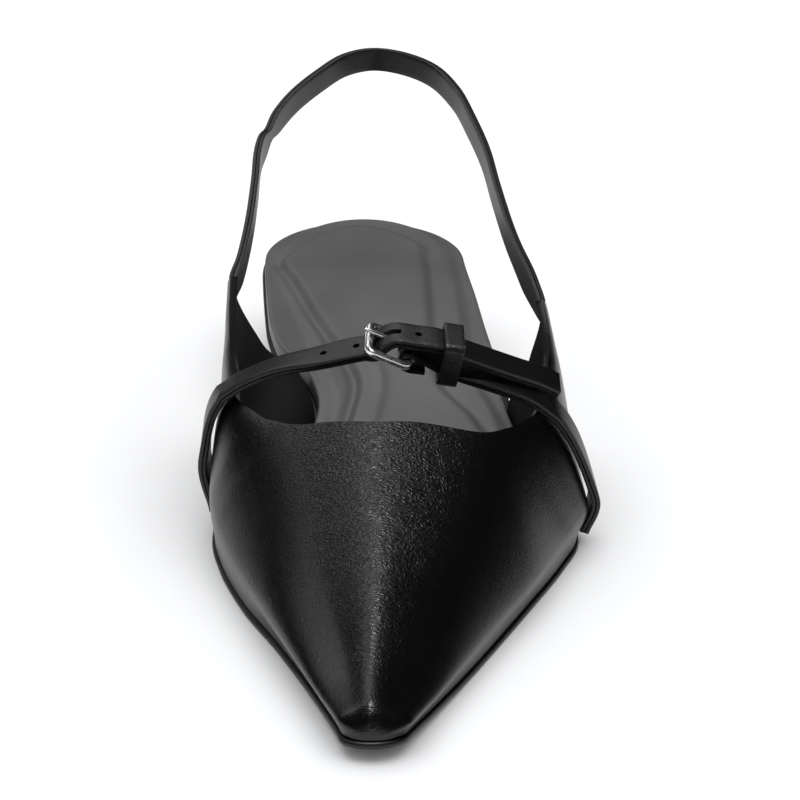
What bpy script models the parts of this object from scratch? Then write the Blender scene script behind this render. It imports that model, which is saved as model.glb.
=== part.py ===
"""Pointed slingback flat with a buckled instep strap, the left shoe of a pair.

It stands on its sole with the toe towards -Y and the outer side of the foot towards +X.
The origin is on the floor, under the middle of the heel. Units are metres.

A place on the shoe is worked out from a station, its distance from the back of the heel
along the sole. Tables give widths as shares of BALL_WIDTH, stations as shares of LENGTH,
and the heights of the upper as shares of THROAT_HEIGHT, above the top of the outsole.
"""
import math
from collections import namedtuple

import bmesh
import bpy
from mathutils import Matrix, Vector

# Sole
LENGTH = 0.269
BALL_WIDTH = 0.086
HEEL_LIFT = 0.0220
TOE_SPRING = 0.0030
HEEL_ROUND = 0.0320
HEEL_POWER = 2.1
TOE_POWER = 2.3
TOE_ROUND = 0.0042
OUTSOLE_THICKNESS = 0.0016
INSOLE_THICKNESS = 0.0030
INSOLE_CUP = 0.0014
ARCH_RISE = 0.0016
SOLE_LEDGE = 0.0006
INSOLE_REVEAL = 0.0006
INSOLE_EASE = 0.0004
INSOLE_TOE_INSET = 0.0060

# Heel
HEEL_BREAST = 0.0490
HEEL_BREAST_LEAN = 0.0035
HEEL_INSET = 0.0008
HEEL_TAPER = 0.0024
TIP_THICKNESS = 0.0036

# Upper
UPPER_WALL = 0.0018
THROAT_HEIGHT = 0.0376
MEDIAL_WING_REAR = 0.388 * LENGTH
LATERAL_WING_REAR = 0.420 * LENGTH
INSOLE_TUCK_START = MEDIAL_WING_REAR - 0.0120
INSOLE_TUCK_END = MEDIAL_WING_REAR - 0.0015

# Straps
SLING_WIDTH = 0.0062
SLING_THICKNESS = 0.0020
SLING_RISE = 0.0738
SLING_FALL = 0.305
SLING_SETTLE = 0.0015
STRAP_WIDTH = 0.0076
STRAP_THICKNESS = 0.0021
FOLD_THICKNESS = 0.0012
FOLD_SLOT = 0.0029
HOLE_DIAMETER = 0.0016
HOLE_OFFSETS = (-0.0145, -0.0074, 0.0062)
PRONG_SLOT_BACK = 0.0036
PRONG_SLOT_FRONT = 0.0018
GATHER_STATION = 0.138 * LENGTH
GATHER_REACH = 0.0075
GATHER_SQUEEZE = 0.22
JOINT_STATION = 0.372 * LENGTH
JOINT_REACH = 0.0060
JOINT_SWELL = 0.16

STRAP_EASE = 0.0001
STRAP_BOW = 0.0003
STRAP_ARCH = 0.0008
STRAP_ROLL = math.radians(15)
LATERAL_FOOT_PLACE = 5.86
LATERAL_TOP_PLACE = 4.10
MEDIAL_FOOT_PLACE = 0.08
MEDIAL_TOP_PLACE = 1.90
SLOT_DEPTH = 0.009
SLOT_RISE = 0.0008
MEDIAL_FOOT = 0.5576 * LENGTH
MEDIAL_CROSSING = 0.5755 * LENGTH
LATERAL_FOOT = 0.6020 * LENGTH

# Buckle and keeper
BUCKLE_SIDE = -0.037 * BALL_WIDTH
BUCKLE_STATION = 0.5993 * LENGTH
BUCKLE_CREST = 1.212 * THROAT_HEIGHT
BUCKLE_LENGTH = 0.0116
BUCKLE_BAR = 0.0018
BUCKLE_CORNER = 0.0016
BUCKLE_SIDE_ROOM = 0.0007
BUCKLE_TILT = math.radians(23)
PRONG_DIAMETER = 0.0011
KEEPER_LENGTH = 0.0045
KEEPER_WALL = 0.0012
KEEPER_CORNER = 0.0013
KEEPER_EASE = 0.0039
KEEPER_TILT = math.radians(9)
KEEPER_STEPS = 4

# Space left between neighbours, and the distance under which points are one
CLEARANCE = 0.0003
MERGE = 0.000005

HEEL_CENTRE = 0.1 * LENGTH

SoleRow = namedtuple("SoleRow", "along medial lateral")
SOLE_OUTLINE = [
    SoleRow(0.000, -0.292, 0.336),
    SoleRow(0.070, -0.309, 0.326),
    SoleRow(0.149, -0.327, 0.321),
    SoleRow(0.223, -0.329, 0.328),
    SoleRow(0.283, -0.327, 0.334),
    SoleRow(0.330, -0.311, 0.343),
    SoleRow(0.365, -0.277, 0.355),
    SoleRow(0.401, -0.239, 0.371),
    SoleRow(0.426, -0.227, 0.385),
    SoleRow(0.453, -0.245, 0.400),
    SoleRow(0.491, -0.320, 0.426),
    SoleRow(0.539, -0.436, 0.466),
    SoleRow(0.580, -0.492, 0.496),
    SoleRow(0.617, -0.499, 0.487),
    SoleRow(0.669, -0.482, 0.426),
    SoleRow(0.743, -0.430, 0.315),
    SoleRow(0.823, -0.345, 0.190),
    SoleRow(0.900, -0.278, 0.070),
    SoleRow(0.967, -0.233, -0.035),
    SoleRow(1.000, -0.217, -0.086),
]

RiseRow = namedtuple("RiseRow", "along lift")
SOLE_RISE = [
    RiseRow(0.000, 1.000),
    RiseRow(0.149, 1.000),
    RiseRow(0.223, 0.955),
    RiseRow(0.283, 0.875),
    RiseRow(0.346, 0.745),
    RiseRow(0.409, 0.530),
    RiseRow(0.465, 0.310),
    RiseRow(0.520, 0.140),
    RiseRow(0.573, 0.030),
    RiseRow(0.613, 0.000),
]
TREAD_FRONT = 0.80

UpperRow = namedtuple("UpperRow", "along belly_m rise_m top_m high_m ridge crest"
                                  " top_l high_l belly_l rise_l")
UPPER = [
    UpperRow(0.380, -0.362, 0.300, -0.441, 0.795, -0.06, 1.30, 0.440, 0.790, 0.415, 0.340),
    UpperRow(0.446, -0.388, 0.325, -0.448, 0.798, -0.06, 1.27, 0.442, 0.798, 0.443, 0.360),
    UpperRow(0.491, -0.434, 0.345, -0.449, 0.820, -0.06, 1.22, 0.436, 0.803, 0.475, 0.360),
    UpperRow(0.539, -0.480, 0.385, -0.440, 0.835, -0.06, 1.17, 0.412, 0.810, 0.496, 0.330),
    UpperRow(0.576, -0.500, 0.400, -0.440, 0.832, -0.06, 1.13, 0.386, 0.812, 0.506, 0.270),
    UpperRow(0.613, -0.503, 0.360, -0.390, 0.830, -0.07, 1.09, 0.354, 0.825, 0.506, 0.248),
    UpperRow(0.650, -0.492, 0.303, -0.326, 0.815, -0.07, 1.04, 0.272, 0.818, 0.460, 0.221),
    UpperRow(0.680, -0.475, 0.262, -0.308, 0.754, -0.08, 1.00, 0.228, 0.768, 0.413, 0.208),
    UpperRow(0.743, -0.430, 0.221, -0.279, 0.617, -0.093, 0.836, 0.169, 0.617, 0.326, 0.194),
    UpperRow(0.818, -0.370, 0.194, -0.250, 0.454, -0.110, 0.645, 0.081, 0.467, 0.200, 0.167),
    UpperRow(0.892, -0.307, 0.148, -0.215, 0.311, -0.128, 0.448, 0.000, 0.311, 0.084, 0.123),
    UpperRow(0.948, -0.258, 0.101, -0.195, 0.199, -0.145, 0.270, -0.070, 0.194, -0.002, 0.079),
    UpperRow(1.000, -0.214, 0.074, -0.186, 0.128, -0.157, 0.156, -0.116, 0.123, -0.077, 0.066),
]

ThroatRow = namedtuple("ThroatRow", "across along")
THROAT = [
    ThroatRow(0.00, 0.628),
    ThroatRow(0.03, 0.642),
    ThroatRow(0.09, 0.656),
    ThroatRow(0.18, 0.666),
    ThroatRow(0.50, 0.689),
    ThroatRow(0.66, 0.684),
    ThroatRow(0.82, 0.677),
    ThroatRow(0.92, 0.668),
    ThroatRow(0.97, 0.657),
    ThroatRow(1.00, 0.642),
]

RouteRow = namedtuple("RouteRow", "side along")
SLING_ROUTE = [
    RouteRow(-0.414, 0.360),
    RouteRow(-0.383, 0.297),
    RouteRow(-0.363, 0.236),
    RouteRow(-0.346, 0.177),
    RouteRow(-0.306, 0.132),
    RouteRow(-0.236, 0.083),
    RouteRow(-0.142, 0.040),
    RouteRow(-0.055, 0.010),
    RouteRow(0.035, -0.001),
    RouteRow(0.130, 0.006),
    RouteRow(0.222, 0.028),
    RouteRow(0.287, 0.070),
    RouteRow(0.322, 0.119),
    RouteRow(0.352, 0.177),
    RouteRow(0.366, 0.238),
    RouteRow(0.388, 0.312),
    RouteRow(0.414, 0.365),
]

SpanRow = namedtuple("SpanRow", "share arch shift")
LATERAL_SPAN = [
    SpanRow(0.14, 0.0012, 0.0),
    SpanRow(0.45, 0.0004, -0.0003),
    SpanRow(0.75, -0.0010, -0.0008),
]
MEDIAL_SPAN = [
    SpanRow(0.12, 0.0014, 0.0002),
    SpanRow(0.38, 0.0024, 0.0006),
    SpanRow(0.68, 0.0014, 0.0008),
]

EndRow = namedtuple("EndRow", "share lift shift")
FREE_END = [
    EndRow(0.12, 0.0026, 0.0),
    EndRow(0.27, 0.0026, -0.0001),
    EndRow(0.43, 0.0018, -0.0014),
    EndRow(0.60, 0.0011, -0.0030),
    EndRow(0.76, 0.0012, -0.0040),
    EndRow(0.91, 0.0020, -0.0046),
]

LEATHER = ("black_leather", (0.012, 0.012, 0.013), 0.38, 0.0)
SATIN = ("satin_insole", (0.115, 0.115, 0.122), 0.46, 0.0)
RUBBER = ("black_rubber", (0.014, 0.014, 0.014), 0.62, 0.0)
SILVER = ("polished_silver", (0.78, 0.78, 0.79), 0.18, 1.0)


def place_at(side, station, height):
    """A point of the shoe: across the foot, along it from the heel, and above the floor."""
    return Vector((side, HEEL_CENTRE - station, height))


def follow(rows, key, column, share):
    """A table's column at a share of its key column, on a smooth curve with no overshoot."""
    keys = [getattr(row, key) for row in rows]
    values = [getattr(row, column) for row in rows]
    share = min(max(share, keys[0]), keys[-1])
    steps = [keys[i + 1] - keys[i] for i in range(len(keys) - 1)]
    slopes = [(values[i + 1] - values[i]) / steps[i] for i in range(len(steps))]
    tangents = [slopes[0]]
    for before, after in zip(slopes, slopes[1:]):
        same_way = before * after > 0
        tangents.append(2 * before * after / (before + after) if same_way else 0.0)
    tangents.append(slopes[-1])
    i = max(n for n in range(len(steps)) if share >= keys[n])
    t = (share - keys[i]) / steps[i]
    return ((2 * t**3 - 3 * t**2 + 1) * values[i] + (t**3 - 2 * t**2 + t) * steps[i] * tangents[i]
            + (3 * t**2 - 2 * t**3) * values[i + 1] + (t**3 - t**2) * steps[i] * tangents[i + 1])


def mix(a, b, share):
    return a + (b - a) * share


def smooth(low, high, value):
    """Goes from 0 at low to 1 at high."""
    t = min(max((value - low) / (high - low), 0.0), 1.0)
    return t * t * (3 - 2 * t)


def rounding(depth, reach, power):
    """How far a round end has opened at a depth behind its tip, from 0 to 1."""
    if depth >= reach:
        return 1.0
    return (1 - (1 - max(depth, 0.0) / reach) ** power) ** (1 / power)


def outline_side(column, station, inset):
    """One side of the sole's outline before its ends are rounded, set in square to the edge."""
    share = station / LENGTH
    side = follow(SOLE_OUTLINE, "along", column, share) * BALL_WIDTH
    step = 0.01
    ahead = follow(SOLE_OUTLINE, "along", column, share + step)
    behind = follow(SOLE_OUTLINE, "along", column, share - step)
    slope = (ahead - behind) * BALL_WIDTH / (2 * step * LENGTH)
    square = inset * math.sqrt(1 + slope * slope)
    return side + square if column == "medial" else side - square


def sole_edges(station, inset, toe_inset=None):
    """The medial and lateral edges of a sole layer that is set in from the sole's outline."""
    medial = outline_side("medial", station, inset)
    lateral = outline_side("lateral", station, inset)
    front = LENGTH - (inset if toe_inset is None else toe_inset)
    opened = rounding(station - inset, HEEL_ROUND, HEEL_POWER)
    opened *= rounding(front - station, TOE_ROUND, TOE_POWER)
    centre = (medial + lateral) / 2
    half = (lateral - medial) / 2 * opened
    return centre - half, centre + half


def sole_underside(station):
    share = station / LENGTH
    lift = HEEL_LIFT * follow(SOLE_RISE, "along", "lift", share)
    spring = TOE_SPRING * (max(share - TREAD_FRONT, 0.0) / (1 - TREAD_FRONT)) ** 2
    return lift + spring


def feather_height(station):
    """Where the upper and the insole start, just above the outsole."""
    return sole_underside(station) + OUTSOLE_THICKNESS + CLEARANCE


def insole_inset(station):
    """The insole reaches the sole's edge at the heel, and stays inside the wall of the upper."""
    inside = SOLE_LEDGE + UPPER_WALL + CLEARANCE + INSOLE_EASE
    return mix(INSOLE_REVEAL, inside, smooth(INSOLE_TUCK_START, INSOLE_TUCK_END, station))


def insole_top(side, station):
    inset = insole_inset(station)
    medial = outline_side("medial", station, inset)
    lateral = outline_side("lateral", station, inset)
    out = (side - (medial + lateral) / 2) / ((lateral - medial) / 2)
    behind = max(1 - (station - inset) / HEEL_ROUND, 0.0)
    near_edge = min((abs(out) ** HEEL_POWER + behind ** HEEL_POWER) ** (1 / HEEL_POWER), 1.0)
    at_heel = 1 - smooth(0.30 * LENGTH, 0.48 * LENGTH, station)
    at_arch = smooth(0.20 * LENGTH, 0.33 * LENGTH, station)
    at_arch *= 1 - smooth(0.40 * LENGTH, 0.50 * LENGTH, station)
    cup = INSOLE_CUP * at_heel * near_edge ** 3
    arch = ARCH_RISE * at_arch * max(-out, 0.0) ** 2
    return feather_height(station) + INSOLE_THICKNESS - INSOLE_CUP * at_heel + cup + arch


def nose_opening(station):
    return rounding(LENGTH - SOLE_LEDGE - station, TOE_ROUND * 1.15, TOE_POWER)


def upper_section(station):
    """Seven points across the upper at a station, from the medial feather line over the top."""
    share = station / LENGTH
    row = {name: follow(UPPER, "along", name, share) for name in UpperRow._fields[1:]}
    medial = outline_side("medial", station, SOLE_LEDGE)
    lateral = outline_side("lateral", station, SOLE_LEDGE)
    shape = [
        (medial, 0.0),
        (row["belly_m"] * BALL_WIDTH, row["rise_m"] * THROAT_HEIGHT),
        (row["top_m"] * BALL_WIDTH, row["high_m"] * THROAT_HEIGHT),
        (row["ridge"] * BALL_WIDTH, row["crest"] * THROAT_HEIGHT),
        (row["top_l"] * BALL_WIDTH, row["high_l"] * THROAT_HEIGHT),
        (row["belly_l"] * BALL_WIDTH, row["rise_l"] * THROAT_HEIGHT),
        (lateral, 0.0),
    ]
    centre = (medial + lateral) / 2
    opened = nose_opening(station)
    base = feather_height(station)
    return [Vector((centre + (x - centre) * opened, 0, base + z * opened)) for x, z in shape]


def upper_point(station, place):
    """The outer face of the upper. Place counts the section's points, from 0 to 6."""
    points = upper_section(station)
    i = min(int(place), 5)
    t = place - i
    start, end = points[i], points[i + 1]
    chord = (end - start).length

    def tangent(n):
        if n in (0, 6):
            return Vector((0, 0, chord if n == 0 else -chord))
        along = points[n + 1] - points[n - 1]
        before = (points[n] - points[n - 1]).length
        after = (points[n + 1] - points[n]).length
        return along * (chord / max(before + after, MERGE))

    spot = (start * (2 * t**3 - 3 * t**2 + 1) + tangent(i) * (t**3 - 2 * t**2 + t)
            + end * (3 * t**2 - 2 * t**3) + tangent(i + 1) * (t**3 - t**2))
    return place_at(spot.x, station, spot.z)


def upper_normal(station, place):
    step, turn = 0.001, 0.02
    along = upper_point(station + step, place) - upper_point(station - step, place)
    over = upper_point(station, min(place + turn, 6)) - upper_point(station, max(place - turn, 0))
    normal = over.cross(along).normalized()
    inside = place_at(0, station, feather_height(station))
    return normal if normal.dot(upper_point(station, place) - inside) > 0 else -normal


def smooth_route(points, steps):
    """A route through the points, with a number of steps from each to the next."""
    ends = [points[0] * 2 - points[1]] + points + [points[-1] * 2 - points[-2]]
    route = []
    for i in range(1, len(ends) - 2):
        before, start, end, after = ends[i - 1:i + 3]
        knots = [0.0]
        for a, b in ((before, start), (start, end), (end, after)):
            knots.append(knots[-1] + math.sqrt(max((b - a).length, MERGE)))
        span = knots[2] - knots[1]
        leave = ((start - before) / (knots[1] - knots[0]) - (end - before) / (knots[2] - knots[0])
                 + (end - start) / span) * span
        arrive = ((end - start) / span - (after - start) / (knots[3] - knots[1])
                  + (after - end) / (knots[3] - knots[2])) * span
        for n in range(steps):
            t = n / steps
            route.append(start * (2 * t**3 - 3 * t**2 + 1) + leave * (t**3 - 2 * t**2 + t)
                         + end * (3 * t**2 - 2 * t**3) + arrive * (t**3 - t**2))
    return route + [points[-1]]


def material(name, colour, roughness, metallic):
    made = bpy.data.materials.get(name) or bpy.data.materials.new(name)
    made.use_nodes = True
    shader = made.node_tree.nodes["Principled BSDF"]
    shader.inputs["Base Color"].default_value = (*colour, 1)
    shader.inputs["Roughness"].default_value = roughness
    shader.inputs["Metallic"].default_value = metallic
    return made


def keep(bm, name, look):
    """Closes a mesh, turns its faces outwards and makes it one of the shoe's pieces."""
    bmesh.ops.remove_doubles(bm, verts=bm.verts, dist=MERGE)
    bmesh.ops.dissolve_degenerate(bm, edges=bm.edges, dist=MERGE)
    bmesh.ops.recalc_face_normals(bm, faces=bm.faces)
    mesh = bpy.data.meshes.new(name)
    bm.to_mesh(mesh)
    bm.free()
    mesh.materials.append(material(*look))
    piece = bpy.data.objects.new(name, mesh)
    shoe.objects.link(piece)
    mesh.shade_smooth()
    mesh.set_sharp_from_angle(angle=math.radians(40))
    return piece


def cut(piece, cutters):
    """Cuts each cutter out of a piece and leaves the cutters out of the shoe."""
    for cutter in cutters:
        cutter.hide_render = True
        cutter.display_type = "WIRE"
        for owner in list(cutter.users_collection):
            owner.objects.unlink(cutter)
        tools.objects.link(cutter)
        boolean = piece.modifiers.new("cut", "BOOLEAN")
        boolean.operation = "DIFFERENCE"
        boolean.solver = "EXACT"
        boolean.object = cutter


def grid(across, along, place):
    """A sheet of cells whose points are placed by a function of two shares."""
    bm = bmesh.new()
    bmesh.ops.create_grid(bm, x_segments=across, y_segments=along, size=0.5)
    first = bm.verts.layers.float.new("across")
    second = bm.verts.layers.float.new("along")
    for vert in bm.verts:
        vert[first], vert[second] = vert.co.x + 0.5, vert.co.y + 0.5
        vert.co = place(vert[first], vert[second])
    return bm, first, second


def slab(name, look, across, along, low, high):
    """A closed layer between a lower and an upper sheet of cells."""
    bm, first, second = grid(across, along, low)
    lifted = bmesh.ops.extrude_face_region(bm, geom=bm.faces[:], use_keep_orig=True)
    for vert in lifted["geom"]:
        if isinstance(vert, bmesh.types.BMVert):
            vert.co = high(vert[first], vert[second])
    return keep(bm, name, look)


def ribbon(name, look, route, faces, width, thickness, closed=False):
    """A strap along a route. Faces are the directions its outer face looks; width and
    thickness are functions of the share of the route."""
    count = len(route)
    corner = 0.28
    profile = [(1, 1 - 2 * corner), (1 - corner, 1), (-1 + corner, 1), (-1, 1 - 2 * corner),
               (-1, -1 + 2 * corner), (-1 + corner, -1), (1 - corner, -1), (1, -1 + 2 * corner)]

    def place(around, share):
        i = round(share * (count - 1))
        if closed:
            before, after = route[(i - 1) % (count - 1)], route[(i + 1) % (count - 1)]
        else:
            before, after = route[max(i - 1, 0)], route[min(i + 1, count - 1)]
        tangent = (after - before).normalized()
        out = (faces[i] - tangent * faces[i].dot(tangent)).normalized()
        side = tangent.cross(out)
        a, b = profile[round(around * 8) % 8]
        return route[i] + side * (a * width(share) / 2) + out * (b * thickness(share) / 2)

    bm, _, _ = grid(8, count - 1, place)
    bmesh.ops.remove_doubles(bm, verts=bm.verts, dist=MERGE)
    if not closed:
        bmesh.ops.holes_fill(bm, edges=bm.edges, sides=8)
    return keep(bm, name, look)


def spread(share):
    """Shares bunched towards both ends, where the outline is round."""
    return (1 - math.cos(math.pi * share)) / 2


def make_outsole():
    def low(across, along):
        station = mix(0.0, LENGTH, spread(along))
        medial, lateral = sole_edges(station, 0.0)
        return place_at(mix(medial, lateral, across), station, sole_underside(station))

    def high(across, along):
        return low(across, along) + Vector((0, 0, OUTSOLE_THICKNESS))

    slab("outsole", RUBBER, 5, 48, low, high)


def make_insole():
    def spot(across, along):
        station = mix(INSOLE_REVEAL, LENGTH - INSOLE_TOE_INSET, spread(along))
        medial, lateral = sole_edges(station, insole_inset(station), INSOLE_TOE_INSET)
        return mix(medial, lateral, across), station

    def low(across, along):
        side, station = spot(across, along)
        return place_at(side, station, feather_height(station))

    def high(across, along):
        side, station = spot(across, along)
        return place_at(side, station, insole_top(side, station))

    slab("insole", SATIN, 8, 46, low, high)


def heel_layer(name, look, bottom, top):
    """A layer of the heel: bottom and top give a height, and how far down the heel it is."""
    def layer(level, across, along):
        height, down = level
        inset = HEEL_INSET + HEEL_TAPER * down
        breast = HEEL_BREAST - HEEL_BREAST_LEAN * down
        station = mix(inset, breast, 1 - math.cos(math.pi / 2 * along))
        medial, lateral = sole_edges(station, inset)
        dish = 0.0022 * (1 - (2 * across - 1) ** 2) * smooth(0.5 * breast, breast, station)
        station -= dish
        return place_at(mix(medial, lateral, across), station, height(station))

    slab(name, look, 6, 14,
         lambda across, along: layer(bottom, across, along),
         lambda across, along: layer(top, across, along))


def make_heel():
    tip_share = TIP_THICKNESS / HEEL_LIFT
    heel_layer("heel_tip", RUBBER, (lambda s: 0.0, 1.0), (lambda s: TIP_THICKNESS, 1.0 - tip_share))
    heel_layer("heel_block", LEATHER, (lambda s: TIP_THICKNESS + CLEARANCE, 1.0 - tip_share),
               (lambda s: sole_underside(s) - CLEARANCE, 0.0))


def make_upper():
    wing, throat = 6, 14
    vamp, side = 24, 13
    across_cells = 2 * wing + throat
    along_cells = vamp + side
    front = LENGTH - SOLE_LEDGE

    def spot(across, along):
        column = round(across * across_cells)
        row = round(along * along_cells)
        if column <= wing:
            place = 2 * column / wing
        elif column >= wing + throat:
            place = 4 + 2 * (column - wing - throat) / wing
        else:
            place = 2 + 2 * (column - wing) / throat
        share = min(max((place - 2) / 2, 0.0), 1.0)
        end = follow(THROAT, "across", "along", share) * LENGTH
        if row <= vamp:
            station = mix(front, end, (row / vamp) ** 1.7)
        else:
            rear = MEDIAL_WING_REAR if place < 3 else LATERAL_WING_REAR
            station = mix(end, rear, (row - vamp) / side)
        return upper_point(station, place)

    bm, first, second = grid(across_cells, along_cells, spot)
    opening = []
    for face in bm.faces:
        column = sum(vert[first] for vert in face.verts) / len(face.verts) * across_cells
        row = sum(vert[second] for vert in face.verts) / len(face.verts) * along_cells
        if row > vamp and wing < column < wing + throat:
            opening.append(face)
    bmesh.ops.delete(bm, geom=opening, context="FACES")
    piece = keep(bm, "upper", LEATHER)
    wall = piece.modifiers.new("wall", "SOLIDIFY")
    wall.thickness = UPPER_WALL
    wall.offset = -1
    wall.use_even_offset = True
    return piece


def on_upper(station, place, lift):
    normal = upper_normal(station, place)
    return upper_point(station, place) + normal * lift, normal


def strap_faces(route, centre):
    """The directions that a strap's outer face looks, level and away from a centre line."""
    faces = []
    for i in range(len(route)):
        ahead = route[min(i + 1, len(route) - 1)] - route[max(i - 1, 0)]
        outward = Vector((ahead.y, -ahead.x, 0)).normalized()
        faces.append(outward if outward.dot(route[i] - centre) > 0 else -outward)
    return faces


def make_slingback():
    def height(station):
        return SLING_RISE - SLING_FALL * station

    def root(rear, place):
        """Where a leg starts, behind the top corner of a wing and in line with its wall."""
        turn = -1 if place > 3 else 1
        corner, _ = on_upper(rear, place, -UPPER_WALL / 2)
        lower, _ = on_upper(rear, place - 0.35 * turn, -UPPER_WALL / 2)
        upward = (corner - lower).normalized()
        start = corner - upward * SLING_WIDTH / 2 + Vector((0, CLEARANCE + 3 * STRAP_EASE, 0))
        return start, upward.cross(Vector((0, turn, 0))).normalized()

    medial, medial_out = root(MEDIAL_WING_REAR, 2)
    lateral, lateral_out = root(LATERAL_WING_REAR, 4)
    free = [place_at(row.side * BALL_WIDTH, row.along * LENGTH, height(row.along * LENGTH))
            for row in SLING_ROUTE]
    settle = Vector((0, SLING_SETTLE, 0))
    steps = 3
    route = smooth_route([medial, medial + settle] + free + [lateral + settle, lateral], steps)
    faces = strap_faces(route, place_at(0, 0.17 * LENGTH, 0))
    blend = 2 * steps
    for n in range(blend):
        share = smooth(0, 1, n / blend)
        faces[n] = medial_out.lerp(faces[n], share)
        faces[-1 - n] = lateral_out.lerp(faces[-1 - n], share)
    count = len(route) - 1

    def swell(share):
        """The elastic gathers the inner leg behind the heel, and its joint thickens the outer leg."""
        spot = route[round(share * count)]
        station = HEEL_CENTRE - spot.y
        if spot.x < 0:
            near = (station - GATHER_STATION) / GATHER_REACH
            return 1 - GATHER_SQUEEZE * math.exp(-near * near)
        near = (station - JOINT_STATION) / JOINT_REACH
        return 1 + JOINT_SWELL * math.exp(-near * near)

    ribbon("slingback_strap", LEATHER, route, faces,
           lambda share: SLING_WIDTH * swell(share), lambda share: SLING_THICKNESS)


def rolled_axes(tilt):
    """Along a strap to the lateral side, towards the toe, and up from its face. Its face tilts
    down to the lateral side and rolls forward to the toe."""
    run = Vector((math.cos(tilt), 0, -math.sin(tilt)))
    rise = Vector((math.sin(tilt), 0, math.cos(tilt)))
    toe = Vector((0, -1, 0))
    return (run, toe * math.cos(STRAP_ROLL) - rise * math.sin(STRAP_ROLL),
            rise * math.cos(STRAP_ROLL) + toe * math.sin(STRAP_ROLL))


def buckle_place(along, up, across=0.0):
    """A point by the buckle: along the strap to the lateral side, up from it, and to the toe."""
    middle = place_at(BUCKLE_SIDE, BUCKLE_STATION, feather_height(BUCKLE_STATION) + BUCKLE_CREST)
    run, toe, rise = rolled_axes(BUCKLE_TILT)
    return middle + run * along + rise * up + toe * across


def over_foot(route):
    """The directions that the outer face of a strap over the foot looks."""
    faces = []
    for i in range(len(route)):
        ahead = route[min(i + 1, len(route) - 1)] - route[max(i - 1, 0)]
        roll = STRAP_ROLL * smooth(-0.38 * BALL_WIDTH, -0.12 * BALL_WIDTH, route[i].x)
        level = ahead.cross(Vector((0, 1, 0))).normalized()
        faces.append(level * math.cos(roll) + Vector((0, -1, 0)) * math.sin(roll))
    return faces


def wall_stretch(foot_station, top_station, foot_place, top_place):
    """The stretch of an instep strap on the wall of the upper, from its foot to the top line."""
    count = 9
    stretch = []
    for n in range(count + 1):
        share = n / count
        station = mix(foot_station, top_station, share)
        ease = STRAP_EASE * (2 + 4 * smooth(0.6, 1.0, share))
        lift = CLEARANCE + ease + STRAP_THICKNESS / 2 + STRAP_BOW * math.sin(math.pi * share) ** 2
        stretch.append(on_upper(station, mix(foot_place, top_place, share), lift))
    return stretch


def rear_bar():
    return BUCKLE_LENGTH / 2 - BUCKLE_BAR / 2


def make_buckle():
    long_half = BUCKLE_LENGTH / 2 - BUCKLE_BAR / 2
    wide_half = (STRAP_WIDTH + BUCKLE_BAR) / 2 + BUCKLE_SIDE_ROOM
    corner = BUCKLE_CORNER
    route = []
    for turn in range(4):
        middle_along = (long_half - corner) * (1 if turn in (0, 3) else -1)
        middle_side = (wide_half - corner) * (1 if turn in (0, 1) else -1)
        for n in range(5):
            angle = math.radians(90 * turn + 90 * n / 4)
            route.append((middle_along + corner * math.cos(angle), middle_side + corner * math.sin(angle)))
    spots = [buckle_place(along, 0, side) for along, side in route]
    spots.append(spots[0])
    upward = buckle_place(0, 1) - buckle_place(0, 0)
    ribbon("buckle_frame", SILVER, spots, [upward] * len(spots),
           lambda share: BUCKLE_BAR, lambda share: BUCKLE_BAR, closed=True)


def make_prong():
    reach = BUCKLE_BAR / 2 + CLEARANCE + STRAP_EASE + PRONG_DIAMETER / 2
    bar = rear_bar()
    spots = [buckle_place(-bar - reach, reach), buckle_place(-bar / 2, reach), buckle_place(bar / 2, reach)]
    for n in range(9):
        angle = math.radians(90 - 225 * n / 8)
        spots.append(buckle_place(bar + reach * math.cos(angle), reach * math.sin(angle)))
    faces = [buckle_place(0, 0, -1) - buckle_place(0, 0)] * len(spots)
    ribbon("buckle_prong", SILVER, spots, faces,
           lambda share: PRONG_DIAMETER, lambda share: PRONG_DIAMETER)


def across_span(start, end, rows):
    """Points of a strap in the air between two ends: each arches up and shifts to the toe."""
    return [start.lerp(end, row.share) + Vector((0, -row.shift, row.arch)) for row in rows]


def lateral_strap_parts():
    """The buckle strap's stretch on the wall, its route in the air and its fold at the bar."""
    wall = wall_stretch(LATERAL_FOOT, LATERAL_FOOT, LATERAL_FOOT_PLACE, LATERAL_TOP_PLACE)
    bar = rear_bar()
    bend = BUCKLE_BAR / 2 + CLEARANCE + STRAP_EASE + FOLD_THICKNESS / 2
    fold = []
    for n in range(9):
        angle = math.radians(90 + 180 * n / 8)
        fold.append(buckle_place(bar + bend * math.cos(angle), bend * math.sin(angle)))
    span = across_span(wall[-1][0], fold[0], LATERAL_SPAN)
    free = smooth_route([wall[-1][0]] + span + [fold[0]], 4)
    return wall, free, fold


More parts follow.
